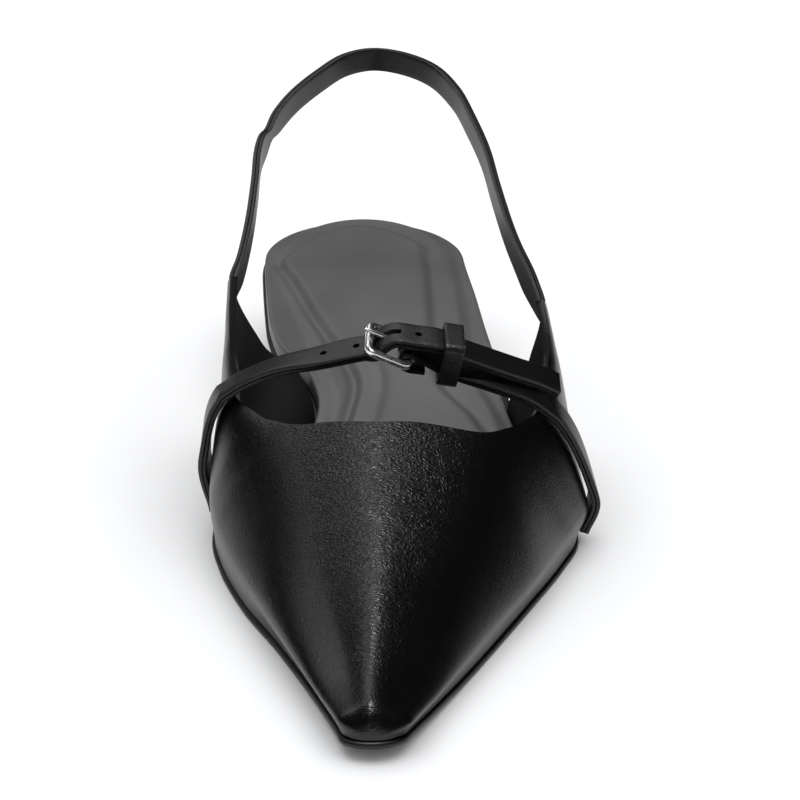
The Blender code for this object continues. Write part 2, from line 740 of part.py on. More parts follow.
def make_lateral_strap():
    wall, free, fold = lateral_strap_parts()
    bar = rear_bar()
    bend = BUCKLE_BAR / 2 + CLEARANCE + STRAP_EASE + FOLD_THICKNESS / 2
    back = over_foot(free[::-1])[::-1]
    below = (STRAP_THICKNESS + FOLD_THICKNESS) / 2 + CLEARANCE + 2 * STRAP_EASE
    tail = [buckle_place(bar + BUCKLE_BAR / 2, -bend), free[-3] - back[-3] * below]
    route = [spot for spot, _ in wall[:-1]] + free + fold[1:] + tail
    centre = buckle_place(bar, 0)
    faces = [out for _, out in wall[:-1]] + back
    faces += [(spot - centre).normalized() for spot in fold[1:]] + [-back[-1]] * 2
    fold_at = len(wall) - 1 + len(free)
    count = len(route) - 1

    def thickness(share):
        return mix(STRAP_THICKNESS, FOLD_THICKNESS, smooth(fold_at - 9, fold_at - 2, share * count))

    piece = ribbon("instep_strap_lateral", LEATHER, route, faces, lambda share: STRAP_WIDTH, thickness)
    cut(piece, [slot_cutter("fold_slot", bar - 2 * bend, bar + FOLD_SLOT)])


def slot_cutter(name, start, end):
    """A bar that cuts the prong's slot through a strap, in the buckle's plane."""
    width = PRONG_DIAMETER + 2 * CLEARANCE
    bpy.ops.mesh.primitive_cube_add(size=1)
    cutter = bpy.context.object
    cutter.name = name
    cutter.scale = (end - start, width, SLOT_DEPTH)
    cutter.location = buckle_place((start + end) / 2, SLOT_RISE)
    run, toe, rise = rolled_axes(BUCKLE_TILT)
    cutter.rotation_euler = Matrix((run, -toe, rise)).transposed().to_euler()
    return cutter


def hole_cutter(name, spot, axis):
    bpy.ops.mesh.primitive_cylinder_add(vertices=12, radius=HOLE_DIAMETER / 2, depth=3 * STRAP_THICKNESS)
    cutter = bpy.context.object
    cutter.name = name
    cutter.location = spot
    cutter.rotation_mode = "QUATERNION"
    cutter.rotation_quaternion = axis.to_track_quat("Z", "Y")
    return cutter


def make_medial_strap():
    wall = wall_stretch(MEDIAL_FOOT, MEDIAL_CROSSING, MEDIAL_FOOT_PLACE, MEDIAL_TOP_PLACE)
    bar = rear_bar()
    under = BUCKLE_BAR / 2 + CLEARANCE + 9 * STRAP_EASE + STRAP_THICKNESS / 2
    over = BUCKLE_BAR / 2 + 2 * CLEARANCE + FOLD_THICKNESS + 3 * STRAP_EASE + STRAP_THICKNESS / 2
    through = [buckle_place(-bar, -under), buckle_place(-0.57 * bar, -0.68 * under),
               buckle_place(-0.40 * bar, 0.14 * over), buckle_place(-0.02 * bar, 0.78 * over),
               buckle_place(bar, over + STRAP_ARCH)]
    rise = across_span(wall[-1][0], through[0], MEDIAL_SPAN)
    _, carrier, _ = lateral_strap_parts()
    carrier = carrier[::-1]
    outward = over_foot(carrier)
    end = []
    for row in FREE_END:
        i = round(row.share * (len(carrier) - 1))
        lift = STRAP_THICKNESS + CLEARANCE + STRAP_EASE + row.lift
        end.append(carrier[i] + outward[i] * lift + Vector((0, -row.shift, 0)))
    loose = smooth_route([wall[-1][0]] + rise + through + end, 4)
    route = [spot for spot, _ in wall[:-1]] + loose
    faces = [out for _, out in wall[:-1]] + over_foot(loose)
    piece = ribbon("instep_strap_medial", LEATHER, route, faces,
                   lambda share: STRAP_WIDTH, lambda share: STRAP_THICKNESS)
    holes = [slot_cutter("prong_slot", -PRONG_SLOT_BACK, PRONG_SLOT_FRONT)]
    for offset in HOLE_OFFSETS:
        i = min(range(len(route)), key=lambda n: abs(route[n].x - BUCKLE_SIDE - offset))
        holes.append(hole_cutter("hole", route[i], faces[i]))
    cut(piece, holes)


def make_keeper():
    """A closed loop round both straps, beside the buckle."""
    _, free, _ = lateral_strap_parts()
    low = free[-1 - KEEPER_STEPS]
    _, toe, rise = rolled_axes(KEEPER_TILT)
    stack = 2 * STRAP_THICKNESS + CLEARANCE + KEEPER_EASE
    middle = low + rise * (stack - STRAP_THICKNESS) / 2
    half_high = stack / 2 + CLEARANCE + KEEPER_WALL / 2
    half_wide = STRAP_WIDTH / 2 + 2 * CLEARANCE + KEEPER_WALL / 2
    corner = KEEPER_CORNER
    spots, faces = [], []
    for turn in range(4):
        side = (half_wide - corner) * (1 if turn in (0, 3) else -1)
        up = (half_high - corner) * (1 if turn in (0, 1) else -1)
        for n in range(5):
            angle = math.radians(90 * turn + 90 * n / 4)
            out = toe * math.cos(angle) + rise * math.sin(angle)
            spots.append(middle + toe * side + rise * up + out * corner)
            faces.append(out)
    spots.append(spots[0])
    faces.append(faces[0])
    ribbon("keeper_loop", LEATHER, spots, faces,
           lambda share: KEEPER_LENGTH, lambda share: KEEPER_WALL, closed=True)


for thing in list(bpy.data.objects):
    bpy.data.objects.remove(thing, do_unlink=True)
shoe = bpy.data.collections.new("pointed_slingback_flat")
tools = bpy.data.collections.new("cutters")
bpy.context.scene.collection.children.link(shoe)
bpy.context.scene.collection.children.link(tools)

make_outsole()
make_insole()
make_heel()
make_upper()
make_slingback()
make_buckle()
make_prong()
make_lateral_strap()
make_medial_strap()
make_keeper()
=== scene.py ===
"""Looks of the pointed slingback flat: its skin, sole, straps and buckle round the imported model.

The shoe stands with its toe towards -Y and its outer side towards +X. A place on it is worked
out from a station, its distance from the back of the heel along the sole. Units are metres.
"""
import math
from collections import namedtuple

import bpy
from mathutils import Matrix, Vector


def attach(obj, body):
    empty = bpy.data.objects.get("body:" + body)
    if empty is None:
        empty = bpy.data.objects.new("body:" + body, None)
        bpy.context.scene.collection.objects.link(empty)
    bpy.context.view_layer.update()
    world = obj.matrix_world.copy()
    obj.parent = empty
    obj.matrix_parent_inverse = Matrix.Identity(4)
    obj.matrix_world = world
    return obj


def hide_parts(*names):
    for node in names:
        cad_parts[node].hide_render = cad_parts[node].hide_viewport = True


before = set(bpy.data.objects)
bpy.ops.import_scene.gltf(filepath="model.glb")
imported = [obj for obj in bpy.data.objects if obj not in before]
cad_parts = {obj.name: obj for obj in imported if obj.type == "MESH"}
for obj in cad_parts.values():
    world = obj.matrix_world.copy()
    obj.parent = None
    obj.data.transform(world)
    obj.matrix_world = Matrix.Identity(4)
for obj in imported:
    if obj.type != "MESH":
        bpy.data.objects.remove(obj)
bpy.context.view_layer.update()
bpy.ops.object.select_all(action="DESELECT")

# Sole
LENGTH = 0.269
BALL_WIDTH = 0.086
HEEL_LIFT = 0.0220
TOE_SPRING = 0.0030
HEEL_ROUND = 0.0320
HEEL_POWER = 2.1
TOE_POWER = 2.3
TOE_ROUND = 0.0042
NOSE_ROUND = 1.15 * TOE_ROUND
OUTSOLE_THICKNESS = 0.0016
INSOLE_THICKNESS = 0.0030
INSOLE_CUP = 0.0014
ARCH_RISE = 0.0016
SOLE_LEDGE = 0.0006
INSOLE_REVEAL = 0.0006
INSOLE_EASE = 0.0004
INSOLE_TOE_INSET = 0.0060
CUP_END = (0.30 * LENGTH, 0.48 * LENGTH)
ARCH_START = (0.20 * LENGTH, 0.33 * LENGTH)
ARCH_END = (0.40 * LENGTH, 0.50 * LENGTH)

# Heel
HEEL_BREAST = 0.0490
HEEL_BREAST_LEAN = 0.0035
HEEL_INSET = 0.0008
HEEL_TAPER = 0.0024
HEEL_BREAST_DISH = 0.0022
TIP_THICKNESS = 0.0036

# Upper
UPPER_WALL = 0.0018
THROAT_HEIGHT = 0.0376
MEDIAL_WING_REAR = 0.388 * LENGTH
LATERAL_WING_REAR = 0.420 * LENGTH
INSOLE_TUCK_START = MEDIAL_WING_REAR - 0.0120
INSOLE_TUCK_END = MEDIAL_WING_REAR - 0.0015

# Straps
SLING_WIDTH = 0.0062
SLING_THICKNESS = 0.0020
SLING_RISE = 0.0738
SLING_FALL = 0.305
SLING_SETTLE = 0.0015
SLING_ROOT_SPAN = 0.35
STRAP_WIDTH = 0.0076
STRAP_THICKNESS = 0.0021
FOLD_THICKNESS = 0.0012
FOLD_SLOT = 0.0029
HOLE_DIAMETER = 0.0016
HOLE_OFFSETS = (-0.0145, -0.0074, 0.0062)
PRONG_SLOT_BACK = 0.0036
PRONG_SLOT_FRONT = 0.0008
GATHER_STATION = 0.138 * LENGTH
GATHER_REACH = 0.0034
GATHER_SQUEEZE = 0.42
GATHER_BULGE = 0.14
BULGE_STATION = GATHER_STATION + 2.2 * GATHER_REACH
BULGE_REACH = 1.3 * GATHER_REACH
JOINT_STATION = 0.372 * LENGTH
JOINT_REACH = 0.0060
JOINT_SWELL = 0.16
STRAP_EASE = 0.0001
STRAP_BOW = 0.0003
STRAP_ARCH = 0.0008
STRAP_ROLL = math.radians(15)
ROLL_START = (-0.38 * BALL_WIDTH, -0.12 * BALL_WIDTH)
LATERAL_FOOT_PLACE = 5.86
LATERAL_TOP_PLACE = 4.10
MEDIAL_FOOT_PLACE = 0.08
MEDIAL_TOP_PLACE = 1.90
SLOT_DEPTH = 0.009
SLOT_RISE = 0.0008
MEDIAL_FOOT = 0.5576 * LENGTH
MEDIAL_CROSSING = 0.5755 * LENGTH
LATERAL_FOOT = 0.6020 * LENGTH

# Buckle and keeper
BUCKLE_SIDE = -0.037 * BALL_WIDTH
BUCKLE_STATION = 0.5993 * LENGTH
BUCKLE_CREST = 1.212 * THROAT_HEIGHT
BUCKLE_LENGTH = 0.0116
BUCKLE_BAR = 0.0018
BUCKLE_CORNER = 0.0016
BUCKLE_SIDE_ROOM = 0.0007
BUCKLE_TILT = math.radians(23)
PRONG_DIAMETER = 0.0011
KEEPER_LENGTH = 0.0045
KEEPER_WALL = 0.0012
KEEPER_CORNER = 0.0013
KEEPER_EASE = 0.0039
KEEPER_TILT = math.radians(9)
KEEPER_STEPS = 4

# Space left between neighbours, and the distance under which points are one
CLEARANCE = 0.0003
MERGE = 0.000005

# Where the shoe's origin is along the sole
HEEL_CENTRE = 0.1 * LENGTH

# Where the fastened pieces turn round the buckle's rear bar
REAR_BAR = BUCKLE_LENGTH / 2 - BUCKLE_BAR / 2
FOLD_BEND = BUCKLE_BAR / 2 + CLEARANCE + STRAP_EASE + FOLD_THICKNESS / 2
PRONG_BEND = BUCKLE_BAR / 2 + CLEARANCE + STRAP_EASE + PRONG_DIAMETER / 2

# Grain of the upper, with painted shade in its wrinkle valleys: full along its ridge, faint on the
# walls, and fading towards the toe
RIDGE_PLACE = 3
GRAIN_REACH = (0.40, 1.15)
GRAIN_TOE = (0.72 * LENGTH, 0.97 * LENGTH)
GRAIN_TOE_LOSS = 0.75
GRAIN_LEAST = 0.16

# Finish
EDGE_RADIUS = 0.00045
SOLE_EDGE_RADIUS = 1.6 * EDGE_RADIUS
INSOLE_EDGE_RADIUS = 1.8 * EDGE_RADIUS
SEAM_DEPTH = 0.00022


def table(columns, rows):
    """Rows of numbers whose columns have names."""
    row_kind = namedtuple("Row", columns)
    return [row_kind(*row) for row in rows]


SOLE_OUTLINE = table("along medial lateral", [
    (0.000, -0.292, 0.336),
    (0.070, -0.309, 0.326),
    (0.149, -0.327, 0.321),
    (0.223, -0.329, 0.328),
    (0.283, -0.327, 0.334),
    (0.330, -0.311, 0.343),
    (0.365, -0.277, 0.355),
    (0.401, -0.239, 0.371),
    (0.426, -0.227, 0.385),
    (0.453, -0.245, 0.400),
    (0.491, -0.320, 0.426),
    (0.539, -0.436, 0.466),
    (0.580, -0.492, 0.496),
    (0.617, -0.499, 0.487),
    (0.669, -0.482, 0.426),
    (0.743, -0.430, 0.315),
    (0.823, -0.345, 0.190),
    (0.900, -0.278, 0.070),
    (0.967, -0.233, -0.035),
    (1.000, -0.217, -0.086),
])

SOLE_RISE = table("along lift", [
    (0.000, 1.000),
    (0.149, 1.000),
    (0.223, 0.955),
    (0.283, 0.875),
    (0.346, 0.745),
    (0.409, 0.530),
    (0.465, 0.310),
    (0.520, 0.140),
    (0.573, 0.030),
    (0.613, 0.000),
])
TREAD_FRONT = 0.80

UPPER = table("along belly_m rise_m top_m high_m ridge crest top_l high_l belly_l rise_l", [
    (0.380, -0.362, 0.300, -0.441, 0.795, -0.06, 1.30, 0.440, 0.790, 0.415, 0.340),
    (0.446, -0.388, 0.325, -0.448, 0.798, -0.06, 1.27, 0.442, 0.798, 0.443, 0.360),
    (0.491, -0.434, 0.345, -0.449, 0.820, -0.06, 1.22, 0.436, 0.803, 0.475, 0.360),
    (0.539, -0.480, 0.385, -0.440, 0.835, -0.06, 1.17, 0.412, 0.810, 0.496, 0.330),
    (0.576, -0.500, 0.400, -0.440, 0.832, -0.06, 1.13, 0.386, 0.812, 0.506, 0.270),
    (0.613, -0.503, 0.360, -0.390, 0.830, -0.07, 1.09, 0.354, 0.825, 0.506, 0.248),
    (0.650, -0.492, 0.303, -0.326, 0.815, -0.07, 1.04, 0.272, 0.818, 0.460, 0.221),
    (0.680, -0.475, 0.262, -0.308, 0.754, -0.08, 1.00, 0.228, 0.768, 0.413, 0.208),
    (0.743, -0.430, 0.221, -0.279, 0.617, -0.093, 0.836, 0.169, 0.617, 0.326, 0.194),
    (0.818, -0.370, 0.194, -0.250, 0.454, -0.110, 0.645, 0.081, 0.467, 0.200, 0.167),
    (0.892, -0.307, 0.148, -0.215, 0.311, -0.128, 0.448, 0.000, 0.311, 0.084, 0.123),
    (0.948, -0.258, 0.101, -0.195, 0.199, -0.145, 0.270, -0.070, 0.194, -0.002, 0.079),
    (1.000, -0.214, 0.074, -0.186, 0.128, -0.157, 0.156, -0.116, 0.123, -0.077, 0.066),
])

THROAT = table("across along", [
    (0.00, 0.628),
    (0.03, 0.642),
    (0.09, 0.656),
    (0.18, 0.666),
    (0.50, 0.689),
    (0.66, 0.684),
    (0.82, 0.677),
    (0.92, 0.668),
    (0.97, 0.657),
    (1.00, 0.642),
])

SLING_ROUTE = table("side along", [
    (-0.414, 0.360),
    (-0.383, 0.297),
    (-0.363, 0.236),
    (-0.346, 0.177),
    (-0.306, 0.132),
    (-0.236, 0.083),
    (-0.142, 0.040),
    (-0.055, 0.010),
    (0.035, -0.001),
    (0.130, 0.006),
    (0.222, 0.028),
    (0.287, 0.070),
    (0.322, 0.119),
    (0.352, 0.177),
    (0.366, 0.238),
    (0.388, 0.312),
    (0.414, 0.365),
])

LATERAL_SPAN = table("share arch shift", [
    (0.14, 0.0012, 0.0),
    (0.45, 0.0004, -0.0003),
    (0.75, -0.0010, -0.0008),
])
MEDIAL_SPAN = table("share arch shift", [
    (0.12, 0.0014, 0.0002),
    (0.38, 0.0024, 0.0006),
    (0.68, 0.0014, 0.0008),
])

FREE_END = table("share lift shift", [
    (0.12, 0.0026, 0.0),
    (0.27, 0.0026, -0.0001),
    (0.43, 0.0018, -0.0014),
    (0.60, 0.0011, -0.0030),
    (0.76, 0.0012, -0.0040),
    (0.91, 0.0020, -0.0046),
])

# The inner strap's way up through the buckle, as shares of its place under or over the bars
THROUGH_BUCKLE = table("along under over", [
    (-1.00, -1.00, 0.00),
    (-0.57, -0.68, 0.00),
    (-0.40, 0.00, 0.14),
    (-0.02, 0.00, 0.78),
])

# Low relief of the footbed: where each moulded step runs, as shares of BALL_WIDTH
BED = table("along arch pad inner outer rim", [
    (0.08, -0.330, -0.290, -0.150, 0.190, 0.300),
    (0.15, -0.312, -0.276, -0.120, 0.195, 0.291),
    (0.20, -0.265, -0.240, -0.100, 0.188, 0.284),
    (0.28, -0.220, -0.188, -0.070, 0.176, 0.270),
    (0.35, -0.188, -0.121, -0.030, 0.160, 0.262),
    (0.40, -0.178, -0.081, -0.006, 0.172, 0.280),
    (0.45, -0.208, -0.112, -0.035, 0.256, 0.340),
    (0.52, -0.280, -0.190, -0.100, 0.330, 0.430),
])
PAD_REAR = 0.0075
PAD_REAR_CURVE = 62.0
PAD_RISE = 0.0012
TERRACE_RISE = 0.0011
GROOVE_DEPTH = 0.0013
GROOVE_REACH = 0.0015
OUTER_GROOVE_REACH = 0.0016
OUTER_GROOVE_SHARE = 0.6
CREASE_SHARE = 0.5
PAD_GROOVE_START = (0.12, 0.16)
OUTER_GROOVE_START = (0.10, 0.14)
CREASE_START = (0.34, 0.40)
STEP_SOFTNESS = 0.0021
BED_END = (0.50, 0.60)


def place_at(side, station, height):
    """A point of the shoe: across the foot, along it from the heel, and above the floor."""
    return Vector((side, HEEL_CENTRE - station, height))


def hermite(start, leave, end, arrive, t):
    """A curve from start to end with the tangents leave and arrive, at t from 0 to 1."""
    return (start * (2 * t**3 - 3 * t**2 + 1) + leave * (t**3 - 2 * t**2 + t)
            + end * (3 * t**2 - 2 * t**3) + arrive * (t**3 - t**2))


def follow(rows, key, column, share):
    """A table's column at a share of its key column, on a smooth curve with no overshoot."""
    keys = [getattr(row, key) for row in rows]
    share = min(max(share, keys[0]), keys[-1])
    i = max(n for n in range(len(keys) - 1) if share >= keys[n])

    def slope(n):
        return (getattr(rows[n + 1], column) - getattr(rows[n], column)) / (keys[n + 1] - keys[n])

    def tangent(n):
        if n == 0 or n == len(keys) - 1:
            return slope(min(n, len(keys) - 2))
        before, after = slope(n - 1), slope(n)
        return 2 * before * after / (before + after) if before * after > 0 else 0.0

    step = keys[i + 1] - keys[i]
    low, high = getattr(rows[i], column), getattr(rows[i + 1], column)
    return hermite(low, step * tangent(i), high, step * tangent(i + 1), (share - keys[i]) / step)


def mix(a, b, share):
    return a + (b - a) * share


def smooth(low, high, value):
    """Goes from 0 at low to 1 at high."""
    t = min(max((value - low) / (high - low), 0.0), 1.0)
    return t * t * (3 - 2 * t)


def bump_at(value, centre, reach):
    """A soft hump of height 1 at a centre."""
    near = (value - centre) / reach
    return math.exp(-near * near)


def rounding(depth, reach, power):
    """How far a round end has opened at a depth behind its tip, from 0 to 1."""
    if depth >= reach:
        return 1.0
    return (1 - (1 - max(depth, 0.0) / reach) ** power) ** (1 / power)


def outline_side(column, station, inset):
    """One side of the sole's outline before its ends are rounded, set in square to the edge."""
    share = station / LENGTH
    side = follow(SOLE_OUTLINE, "along", column, share) * BALL_WIDTH
    step = 0.01
    ahead = follow(SOLE_OUTLINE, "along", column, share + step)
    behind = follow(SOLE_OUTLINE, "along", column, share - step)
    slope = (ahead - behind) * BALL_WIDTH / (2 * step * LENGTH)
    square = inset * math.sqrt(1 + slope * slope)
    return side + square if column == "medial" else side - square


def sole_edges(station, inset, toe_inset=None):
    """The medial and lateral edges of a sole layer that is set in from the sole's outline."""
    medial = outline_side("medial", station, inset)
    lateral = outline_side("lateral", station, inset)
    front = LENGTH - (inset if toe_inset is None else toe_inset)
    opened = rounding(station - inset, HEEL_ROUND, HEEL_POWER)
    opened *= rounding(front - station, TOE_ROUND, TOE_POWER)
    centre = (medial + lateral) / 2
    half = (lateral - medial) / 2 * opened
    return centre - half, centre + half


def sole_underside(station):
    share = station / LENGTH
    lift = HEEL_LIFT * follow(SOLE_RISE, "along", "lift", share)
    spring = TOE_SPRING * (max(share - TREAD_FRONT, 0.0) / (1 - TREAD_FRONT)) ** 2
    return lift + spring


def feather_height(station):
    """Where the upper and the insole start, just above the outsole."""
    return sole_underside(station) + OUTSOLE_THICKNESS + CLEARANCE


def insole_inset(station):
    """The insole reaches the sole's edge at the heel, and stays inside the wall of the upper."""
    inside = SOLE_LEDGE + UPPER_WALL + CLEARANCE + INSOLE_EASE
    return mix(INSOLE_REVEAL, inside, smooth(INSOLE_TUCK_START, INSOLE_TUCK_END, station))


def insole_top(side, station):
    inset = insole_inset(station)
    medial, lateral = outline_side("medial", station, inset), outline_side("lateral", station, inset)
    out = (side - (medial + lateral) / 2) / ((lateral - medial) / 2)
    behind = max(1 - (station - inset) / HEEL_ROUND, 0.0)
    near_edge = min((abs(out) ** HEEL_POWER + behind ** HEEL_POWER) ** (1 / HEEL_POWER), 1.0)
    at_heel = 1 - smooth(*CUP_END, station)
    at_arch = smooth(*ARCH_START, station) * (1 - smooth(*ARCH_END, station))
    cup = INSOLE_CUP * at_heel * near_edge ** 3
    arch = ARCH_RISE * at_arch * max(-out, 0.0) ** 2
    return feather_height(station) + INSOLE_THICKNESS - INSOLE_CUP * at_heel + cup + arch


def nose_opening(station):
    return rounding(LENGTH - SOLE_LEDGE - station, NOSE_ROUND, TOE_POWER)


def upper_section(station):
    """Seven points across the upper at a station, from the medial feather line over the top."""
    share = station / LENGTH
    row = {name: follow(UPPER, "along", name, share) for name in UPPER[0]._fields[1:]}
    medial = outline_side("medial", station, SOLE_LEDGE)
    lateral = outline_side("lateral", station, SOLE_LEDGE)
    shape = [
        (medial, 0.0),
        (row["belly_m"] * BALL_WIDTH, row["rise_m"] * THROAT_HEIGHT),
        (row["top_m"] * BALL_WIDTH, row["high_m"] * THROAT_HEIGHT),
        (row["ridge"] * BALL_WIDTH, row["crest"] * THROAT_HEIGHT),
        (row["top_l"] * BALL_WIDTH, row["high_l"] * THROAT_HEIGHT),
        (row["belly_l"] * BALL_WIDTH, row["rise_l"] * THROAT_HEIGHT),
        (lateral, 0.0),
    ]
    centre = (medial + lateral) / 2
    opened = nose_opening(station)
    base = feather_height(station)
    return [Vector((centre + (x - centre) * opened, 0, base + z * opened)) for x, z in shape]


def upper_point(station, place):
    """The outer face of the upper. Place counts the section's points, from 0 to 6."""
    points = upper_section(station)
    i = min(int(place), 5)
    start, end = points[i], points[i + 1]
    chord = (end - start).length

    def tangent(n):
        if n in (0, 6):
            return Vector((0, 0, chord if n == 0 else -chord))
        along = points[n + 1] - points[n - 1]
        before = (points[n] - points[n - 1]).length
        after = (points[n + 1] - points[n]).length
        return along * (chord / max(before + after, MERGE))

    spot = hermite(start, tangent(i), end, tangent(i + 1), place - i)
    return place_at(spot.x, station, spot.z)


def upper_normal(station, place):
    step, turn = 0.001, 0.02
    along = upper_point(station + step, place) - upper_point(station - step, place)
    over = upper_point(station, min(place + turn, 6)) - upper_point(station, max(place - turn, 0))
    normal = over.cross(along).normalized()
    inside = place_at(0, station, feather_height(station))
    return normal if normal.dot(upper_point(station, place) - inside) > 0 else -normal


def smooth_route(points, steps):
    """A route through the points, with a number of steps from each to the next."""
    ends = [points[0] * 2 - points[1]] + points + [points[-1] * 2 - points[-2]]
    route = []
    for i in range(1, len(ends) - 2):
        before, start, end, after = ends[i - 1:i + 3]
        knots = [0.0]
        for a, b in ((before, start), (start, end), (end, after)):
            knots.append(knots[-1] + math.sqrt(max((b - a).length, MERGE)))
        span = knots[2] - knots[1]
        leave = ((start - before) / (knots[1] - knots[0]) - (end - before) / (knots[2] - knots[0])
                 + (end - start) / span) * span
        arrive = ((end - start) / span - (after - start) / (knots[3] - knots[1])
                  + (after - end) / (knots[3] - knots[2])) * span
        for n in range(steps):
            route.append(hermite(start, leave, end, arrive, n / steps))
    return route + [points[-1]]


def spread(share):
    """Shares bunched towards both ends, where the outline is round."""
    return (1 - math.cos(math.pi * share)) / 2


# Building with meshes

def pick(piece):
    """Makes a piece the active one, and the only one selected."""
    bpy.ops.object.select_all(action="DESELECT")
    piece.select_set(True)
    bpy.context.view_layer.objects.active = piece


def edit(piece):
    """Opens a piece in edit mode with all of it selected."""
    pick(piece)
    bpy.ops.object.mode_set(mode="EDIT")
    bpy.ops.mesh.select_all(action="SELECT")


def leave_edit():
    bpy.ops.object.mode_set(mode="OBJECT")


def sheet(name, across, along, place):
    """A sheet of cells whose points are placed by a function of two shares."""
    bpy.ops.mesh.primitive_grid_add(x_subdivisions=across, y_subdivisions=along, size=1)
    piece = bpy.context.object
    piece.name = name
    for point in piece.data.vertices:
        point.co = place(point.co.x + 0.5, point.co.y + 0.5)
    return piece


def close_shell(piece):
    """Merges the seam of a wrapped sheet, closes its ends and turns its faces outwards."""
    edit(piece)
    bpy.ops.mesh.remove_doubles(threshold=MERGE)
    bpy.ops.mesh.dissolve_degenerate(threshold=MERGE / 2)
    bpy.ops.mesh.select_all(action="SELECT")
    bpy.ops.mesh.fill_holes(sides=0)
    bpy.ops.mesh.select_all(action="SELECT")
    bpy.ops.mesh.normals_make_consistent(inside=False)
    leave_edit()


def apply_modifiers(piece):
    pick(piece)
    for modifier in list(piece.modifiers):
        bpy.ops.object.modifier_apply(modifier=modifier.name)


def finish_piece(piece, node, materials, angle=40):
    """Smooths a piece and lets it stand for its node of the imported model."""
    pick(piece)
    bpy.ops.object.shade_smooth_by_angle(angle=math.radians(angle))
    piece.data.materials.clear()
    for material in materials:
        piece.data.materials.append(material)
    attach(piece, "root")
    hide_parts(node)


def mark(piece, name, values):
    """Keeps a number for each point, which a material can read."""
    numbers = piece.data.attributes.new(name=name, type="FLOAT", domain="POINT")
    numbers.data.foreach_set("value", values)


def layer(name, across_cells, rows, low_edge, high_edge, place):
    """A closed layer with rounded edges. An edge is a list of insets and of heights from the
    layer's face; place takes the share across, the share along, the inset, which face, and
    the height from it."""
    ring = [(n / across_cells, low_edge[0], "low") for n in range(across_cells + 1)]
    ring += [(1.0, step, "low") for step in low_edge[1:]]
    ring += [(1.0, step, "high") for step in high_edge[:-1]]
    ring += [(1 - n / across_cells, high_edge[-1], "high") for n in range(across_cells + 1)]
    ring += [(0.0, step, "high") for step in reversed(high_edge[:-1])]
    ring += [(0.0, step, "low") for step in reversed(low_edge[1:])]
    ring.append(ring[0])

    def spot(around, along):
        across, (inset, height), face = ring[round(around * (len(ring) - 1))]
        return place(across, along, inset, face, height)

    piece = sheet(name, len(ring) - 1, rows, spot)
    close_shell(piece)
    return piece


def edge_profile(radius, steps):
    """The rounded lower and upper edges of a layer, as pairs of inset and height from its face."""
    turns = [math.pi / 2 * n / steps for n in range(steps + 1)]
    low = [(radius * (1 - math.sin(a)), radius * (1 - math.cos(a))) for a in turns]
    high = [(inset, -height) for inset, height in reversed(low)]
    return low, high


def strap_profile(seam):
    """A strap's section, as shares of its half width and its distance from its outer face.
    Its edges are rounded, and a seam may run along the middle of each edge."""
    corner = [(1 - 0.10, 1.0), (1 - 0.035, 0.93), (1.0, 0.72)]
    side = [(1.0, 0.30), (1.0, 0.16), (1 - seam, 0.0), (1.0, -0.16), (1.0, -0.30)]
    right = corner + side + [(x, -y) for x, y in reversed(corner)]
    left = [(-x, y) for x, y in reversed(right)]
    middle_low = [(x, -1.0) for x in (0.6, 0.2, -0.2, -0.6)]
    middle_high = [(x, 1.0) for x in (-0.6, -0.2, 0.2, 0.6)]
    return middle_high[2:] + right + middle_low + left + middle_high[:2]


def heading(route, i, closed=False):
    """The way a route runs at one of its points. A closed route ends at its first point."""
    last = len(route) - 1
    if closed:
        return route[(i + 1) % last] - route[(i - 1) % last]
    return route[min(i + 1, last)] - route[max(i - 1, 0)]


def ribbon(name, route, faces, width, thickness, profile, closed=False):
    """A strap along a route. Faces are the directions its outer face looks. Width and thickness
    are functions of the point's number."""
    ring = profile + profile[:1]

    def spot(around, along):
        i = round(along * (len(route) - 1))
        ahead = heading(route, i, closed).normalized()
        out = (faces[i] - ahead * faces[i].dot(ahead)).normalized()
        side = ahead.cross(out)
        a, b = ring[round(around * (len(ring) - 1))]
        return route[i] + side * (a * width(i) / 2) + out * (b * thickness(i) / 2)

    piece = sheet(name, len(ring) - 1, len(route) - 1, spot)
    close_shell(piece)
    return piece


def rounded_ring(half_long, half_wide, corner, steps):
    """A closed ring with round corners, as triples of along, across and the angle it looks to."""
    ring = []
    for turn in range(4):
        along = (half_long - corner) * (1 if turn in (0, 3) else -1)
        across = (half_wide - corner) * (1 if turn in (0, 1) else -1)
        for n in range(steps + 1):
            angle = math.radians(90 * turn + 90 * n / steps)
            ring.append((along + corner * math.cos(angle), across + corner * math.sin(angle), angle))
    return ring + ring[:1]


def cut(piece, cutters):
    """Cuts each cutter out of a piece and removes the cutters."""
    for cutter in cutters:
        boolean = piece.modifiers.new("cut", "BOOLEAN")
        boolean.operation = "DIFFERENCE"
        boolean.solver = "EXACT"
        boolean.object = cutter
    apply_modifiers(piece)
    for cutter in cutters:
        bpy.data.objects.remove(cutter, do_unlink=True)


# Materials: dyes and paints, the edge paint lightened as a painted rim highlight, and the sizes of the
# leather's grain, whose wrinkle valleys carry painted shade

BLACK_DYE = (0.0020, 0.0020, 0.0021)
LINING_DYE = (0.0024, 0.0024, 0.0025)
# Edge paint, made lighter than the black dye as a painted highlight along the cut edges
EDGE_PAINT_AND_RIM_HIGHLIGHT = (0.0160, 0.0160, 0.0165)
FOOTBED_DYE = (0.118, 0.118, 0.122)
SOLE_BLACK = (0.0035, 0.0035, 0.0036)
NICKEL = (0.92, 0.92, 0.93, 1)
FLOOR_SHADES = ((0.90, 0.90, 0.90, 1), (0.92, 0.92, 0.92, 1))
WRINKLE_STRETCH = (0.52, 1.0, 1.0)
WRINKLE_DRIFT = 0.0016
WRINKLE_DEPTH = 0.000125
PORES_PER_METRE = 2600.0
PORE_DEPTH = 0.000012
# How dark the dye turns at the low end of the grain's tint, which includes the painted shade in the
# wrinkle valleys
DARK_SHARE = 0.55
ROUGHER = 0.16
SMOOTHER = 0.05


